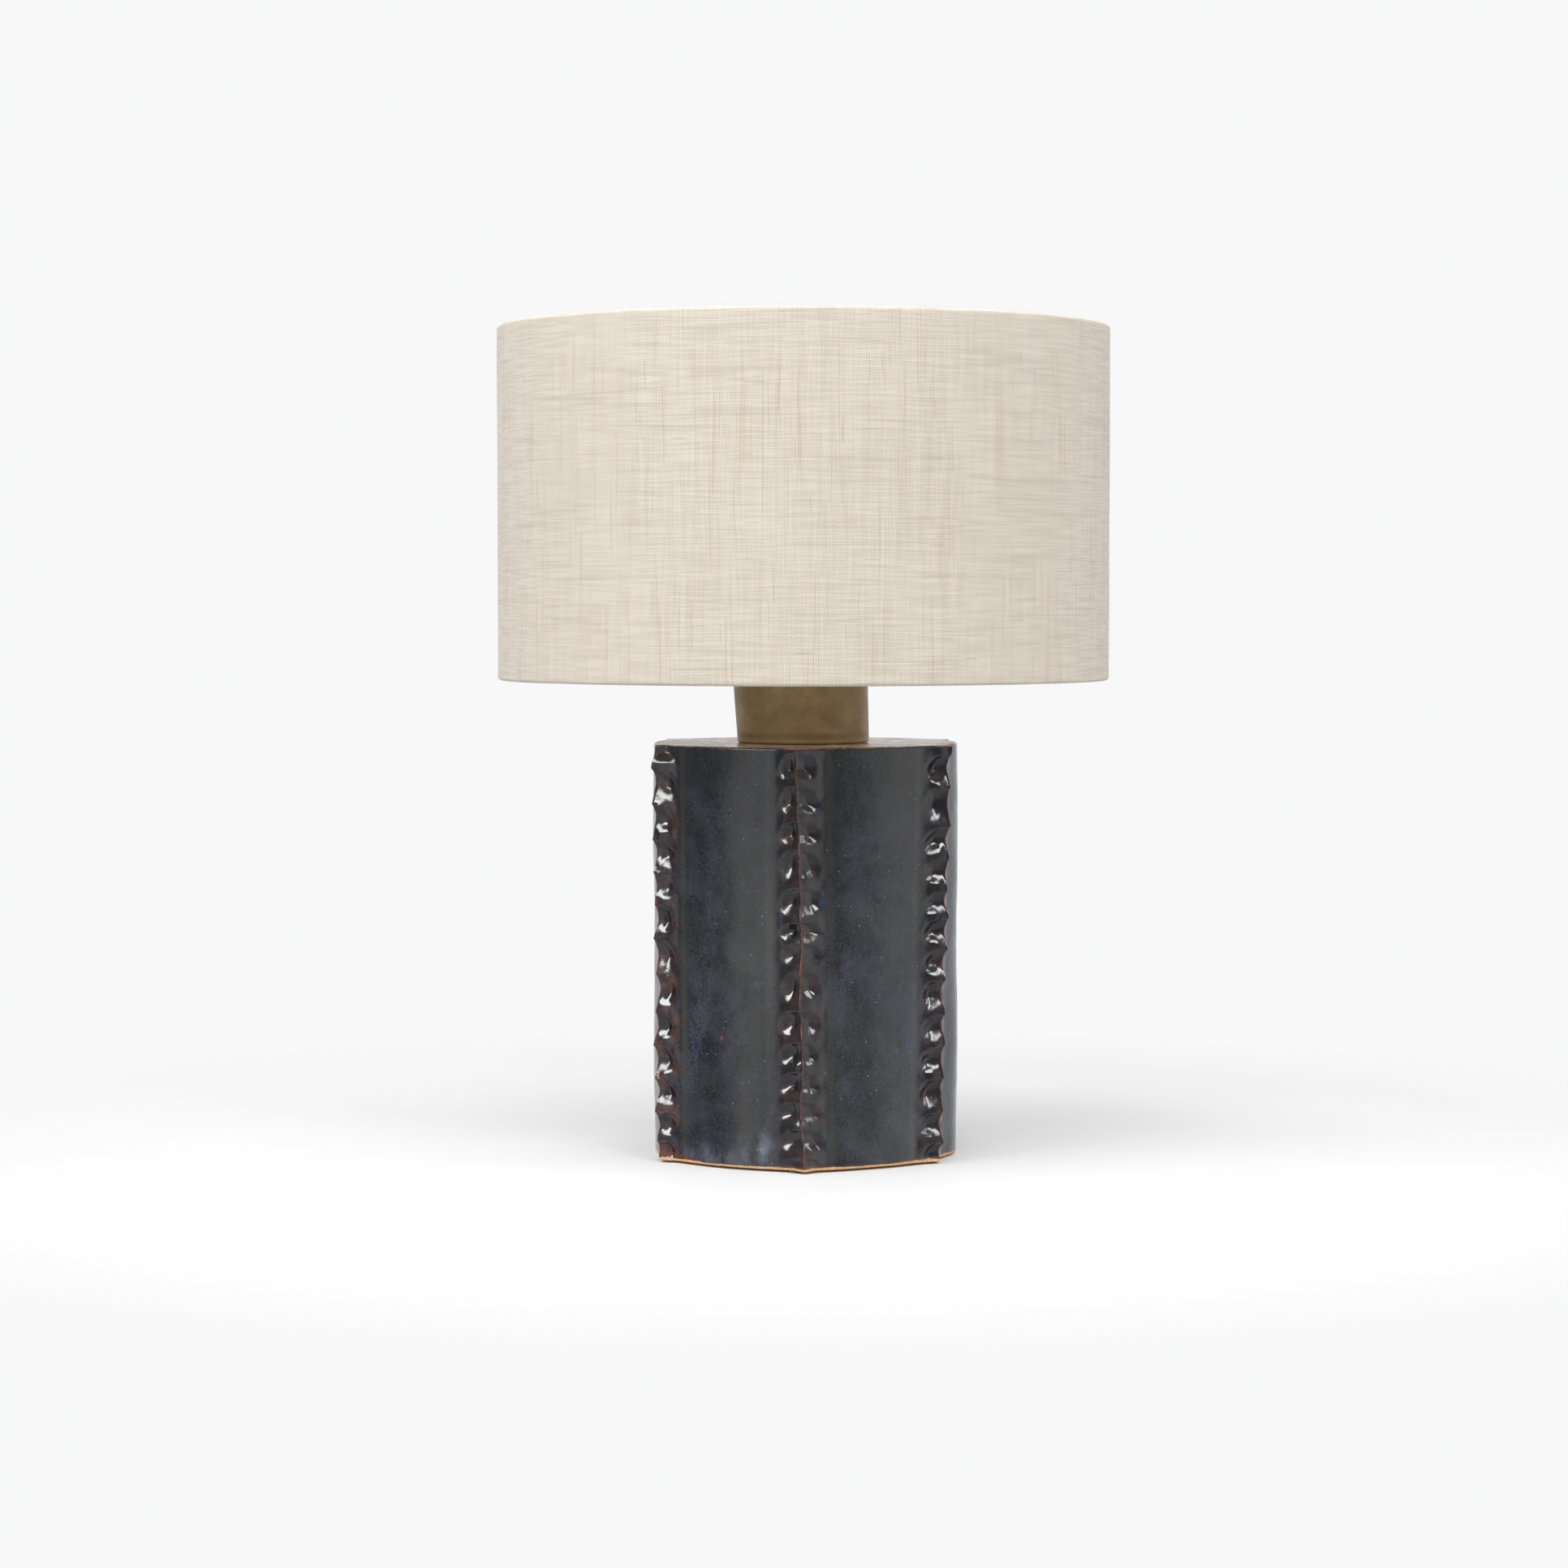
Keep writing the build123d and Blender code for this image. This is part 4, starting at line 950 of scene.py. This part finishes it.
# ---- bulb
def glass_outline():
    """Radius and height down a globe bulb's outer face, from its neck to its crown."""
    low, high = node_box("bulb_glass")
    radius, neck_radius = high[0], 12.4
    widest = high[2] - radius
    neck = [(neck_radius, z) for z in np.linspace(low[2] + 0.2, low[2] + 9, 5)]
    start = low[2] + 10
    flare = []
    for f in np.linspace(0.04, 1, 22):
        swell = math.sin(smooth(0, 1, f) * math.pi / 2) ** 0.9
        flare.append((neck_radius + (radius - neck_radius) * swell, start + (widest - start) * f**0.92))
    return neck + flare + arc((0.0, widest), radius, 4, 89, 20)


def bulb():
    """The globe, and its screw cap with one continuous rolled thread."""
    outside = glass_outline()
    wall = 0.9
    inside = [(max(r - wall, 0.3), z - wall * 0.3) for r, z in outside[::-1]]
    inside[0] = (0.3, outside[-1][1] - wall)
    points, faces = lathe(outside + inside, 128)
    glass = piece("globe_glass", points, faces, GLASS, "bulb", ["bulb_glass"], sharp=80)
    low, high = node_box("bulb_screw_cap")
    pitch, crest, depth, rows = 3.63, high[0], 0.75, 96
    angles = round_angles(96)
    points = []
    for z in np.linspace(low[2], high[2], rows):
        turn = ((z - low[2]) / pitch - angles / (2 * math.pi)) * 2 * math.pi
        cut = depth * (0.5 + 0.5 * np.cos(turn)) * smooth(0, 2.5, z - low[2]) * smooth(0, 4.5, high[2] - z)
        r = crest - cut - 0.9 * smooth(1.6, 0, z - low[2]) - 0.5 * smooth(3.0, 0, high[2] - z)
        points.append(round_points(r, angles, z))
    points += [round_points(crest - 1.6, angles, z) for z in (high[2], low[2])]
    faces = grid_faces(rows + 2, len(angles), wrap_rows=True, wrap_columns=True)
    cap = piece("threaded_cap", np.concatenate(points), faces, NICKEL, "bulb", ["bulb_screw_cap"], sharp=60)


bulb()


# ---- spider
def tube_along(path, radius, sides=16):
    """A round closed rod through points in mm."""
    path = np.asarray(path, float)
    tangent = np.gradient(path, axis=0)
    tangent /= np.linalg.norm(tangent, axis=1)[:, None]
    across = np.cross(tangent, [0.0, 0.0, 1.0])
    across /= np.linalg.norm(across, axis=1)[:, None] + 1e-9
    up = np.cross(across, tangent)
    turn = round_angles(sides)
    cos, sin = np.cos(turn), np.sin(turn)
    points = [p + radius * (np.outer(cos, a) + np.outer(sin, u)) for p, a, u in zip(path, across, up)]
    faces = grid_faces(len(path), sides, wrap_columns=True)
    faces.append(tuple(range(sides - 1, -1, -1)))
    faces.append(tuple(range((len(path) - 1) * sides, len(path) * sides)))
    return np.concatenate(points), faces


def spider():
    """The three wire arms from the fitter to the lower ring, welded at both ends, and the fitter."""
    low, high = node_box("fitter_ring")
    level = (low[2] + high[2]) / 2
    wire = 1.4
    ring = node_box("lower_wire_ring")[1][0] - 1.5
    end = node_box("lower_wire_ring")[1][2] + 2.2
    near = [(27.2, level), (40, level), (60, level - 3)]
    control = np.array(near + [(ring - 30, end + 6.6), (ring - 4, end + 1.4), (ring + 0.2, end - 1.6)])
    along, steps = np.linspace(0, 1, 60), np.linspace(0, 1, len(control))
    fine = np.column_stack([np.interp(along, steps, control[:, k]) for k in (0, 1)])
    soft = np.column_stack([softened(fine[:, k], 9) for k in (0, 1)])
    soft[0], soft[-1] = fine[0], fine[-1]
    points, faces = [], []
    for degrees in ARMS:
        path = np.column_stack([np.outer(soft[:, 0], toward(degrees)), soft[:, 1]])
        rod, rod_faces = tube_along(path, wire)
        faces += [tuple(i + sum(map(len, points)) for i in face) for face in rod_faces]
        points.append(rod)
    arms = piece("wire_spider", np.concatenate(points), faces, WIRE, "shade", ["spider_arms"])
    bore, rim = 20.3, 28.0
    profile = [(rim - 0.3, low[2]), (rim, low[2] + 0.3), (rim, high[2] - 0.3), (rim - 0.3, high[2])]
    profile += [(bore + 0.3, high[2]), (bore, high[2] - 0.3), (bore, low[2] + 0.3), (bore + 0.3, low[2])]
    points, faces = lathe(profile, 96)
    made = piece("fitter", points, faces, WIRE, "shade", ["fitter_ring"], sharp=60)


spider()


# ---- finishes of the CAD parts that stay
FINISHES = (
    (FELT, "felt_pads"),
    (RUBBER, "cable_grommet"),
    (STEEL, "cross_bar lower_washer lower_nut upper_nut lamp_tube grub_screw"),
    (BRASS, "cap_plate"),
    (PLASTIC, "holder_cap holder_skirt lower_shade_ring upper_shade_ring switch_knob"),
    (PORCELAIN, "contact_block"),
    (CONTACT, "terminal_screws centre_contact side_contact switch_shaft"),
    (NICKEL, "screw_shell"),
    (SOLDER, "bulb_tip"),
    (VITRITE, "bulb_insulator"),
    (GLASS, "bulb_stem"),
    (PHOSPHOR, "bulb_filaments"),
)
for material, nodes in FINISHES:
    for node in nodes.split():
        mesh = frame["nodes"][node].data
        mesh.materials.clear()
        mesh.materials.append(material)


# ---- floor, light and camera
BACKDROP = rgb(248, 248, 249)


def floor():
    """A wide pale disc that fades into the background away from the lamp."""
    look = Look("studio_floor", Roughness=0.6, Specular_IOR_Level=0.2)
    tint = look.mix(look.clouds(0.3, 0.7, 3, 2), rgb(242, 242, 243), rgb(245, 245, 246))
    look.set("Base Color", tint)
    glow = look.add("ShaderNodeEmission")
    look.feed(glow.inputs["Color"], BACKDROP)
    seen = look.add("ShaderNodeLightPath").outputs["Is Camera Ray"]
    look.feed(glow.inputs["Strength"], look.span(seen, 0.0, 1.0, 0.3, 1.0))
    reach = look.add("ShaderNodeVectorMath", operation="LENGTH")
    look.feed(reach.inputs[0], look.place)
    fade = look.span(reach.outputs["Value"], 0.2, 0.75)
    blend = look.mixed_shader(fade, look.shader.outputs[0], glow.outputs[0])
    look.feed(look.tree.nodes["Material Output"].inputs["Surface"], blend)
    disc = round_points(14000.0, round_angles(96), 0.0)
    made = placed("studio_floor", new_mesh("studio_floor", disc, [tuple(range(len(disc)))], [look.material]))
    made.visible_glossy = False


def lamp(name, azimuth, elevation, size, radiance):
    """A soft studio light facing the lamp. A gleam is only seen in surfaces, and the others only light them."""
    x, y = toward(azimuth)
    out, up = toward(elevation)
    target = Vector((0, 0, 0.25))
    position = target + 2.4 * Vector((x * out, y * out, up))
    data = bpy.data.lights.new(name, "AREA")
    data.shape = "RECTANGLE"
    data.size, data.size_y = size
    data.energy = radiance * math.pi * size[0] * size[1]
    made = placed(name, data)
    made.location = position
    made.rotation_euler = (target - position).to_track_quat("-Z", "Y").to_euler()
    made.visible_glossy = name.endswith("gleam")
    made.visible_diffuse = not made.visible_glossy


# how bright the room is, and its brighter parts: direction, where each starts and is full as a cosine of the
# angle from it, and what it adds
ROOM_BASE = 0.25
ROOM = (
    ((*toward(238), 0), 0.80, 1.0, 0.60),
    ((*toward(352), 0), 0.72, 1.0, 0.62),
    ((*toward(90), 0), 0.30, 0.90, 0.60),
    ((0, 0, -1), 0.10, 0.55, 0.38),
)
FILL = 0.85


def world():
    """A pale backdrop to the camera, a dimmer room in reflections, and an even fill for all else."""
    made = bpy.data.worlds.new("studio")
    made.use_nodes = True
    sky = Nodes(made.node_tree)

    def background(node, color, strength):
        sky.feed(node.inputs["Color"], color)
        sky.feed(node.inputs["Strength"], strength)
        return node.outputs[0]

    direction = sky.add("ShaderNodeTexCoord").outputs["Generated"]
    brightness = ROOM_BASE
    for centre, start, full, strength in ROOM:
        dot = sky.add("ShaderNodeVectorMath", operation="DOT_PRODUCT")
        sky.feed(dot.inputs[0], direction)
        sky.feed(dot.inputs[1], centre)
        brightness = sky.plus(sky.span(dot.outputs["Value"], start, full, 0.0, strength), brightness)
    backdrop = background(sky.tree.nodes["Background"], BACKDROP, 1.0)
    room = background(sky.add("ShaderNodeBackground"), (0.95, 0.96, 1.0), brightness)
    fill = background(sky.add("ShaderNodeBackground"), (0.8, 0.8, 0.8), FILL)
    path = sky.add("ShaderNodeLightPath")
    unseen = sky.mixed_shader(path.outputs["Is Glossy Ray"], fill, room)
    seen = sky.mixed_shader(path.outputs["Is Camera Ray"], unseen, backdrop)
    sky.feed(sky.tree.nodes["World Output"].inputs["Surface"], seen)
    bpy.context.scene.world = made


floor()
world()
lamp("key", 214, 42, (1.5, 1.1), 3.9)
lamp("front_top", 262, 50, (0.9, 0.7), 6.0)
lamp("front_right", 300, 44, (0.7, 0.6), 8.0)
lamp("right_fill", 345, 36, (0.7, 0.9), 4.0)
lamp("left_gleam", 222, 37, (1.1, 1.7), 13)
lamp("front_gleam", 268, 44, (0.7, 1.0), 13)
lamp("right_gleam", 312, 38, (0.6, 1.3), 12)
lamp("far_gleam", 350, 36, (0.5, 1.0), 7)

# the camera stands a little to the right and looks slightly down and left
CAMERA_DISTANCE, CAMERA_HEIGHT = 2.558, 0.3655
CAMERA_ROUND, CAMERA_DOWN, CAMERA_LEFT = 2.8, 2.757, 0.284
camera_data = bpy.data.cameras.new("camera")
camera_data.sensor_width = 36.0
camera_data.lens = 89.38
camera = placed("camera", camera_data)
camera.location = (*(CAMERA_DISTANCE * toward(CAMERA_ROUND - 90)), CAMERA_HEIGHT)
camera.rotation_euler = (math.radians(90 - CAMERA_DOWN), 0, math.radians(CAMERA_ROUND + CAMERA_LEFT))
bpy.context.scene.camera = camera
bpy.context.scene.view_settings.view_transform = "Standard"
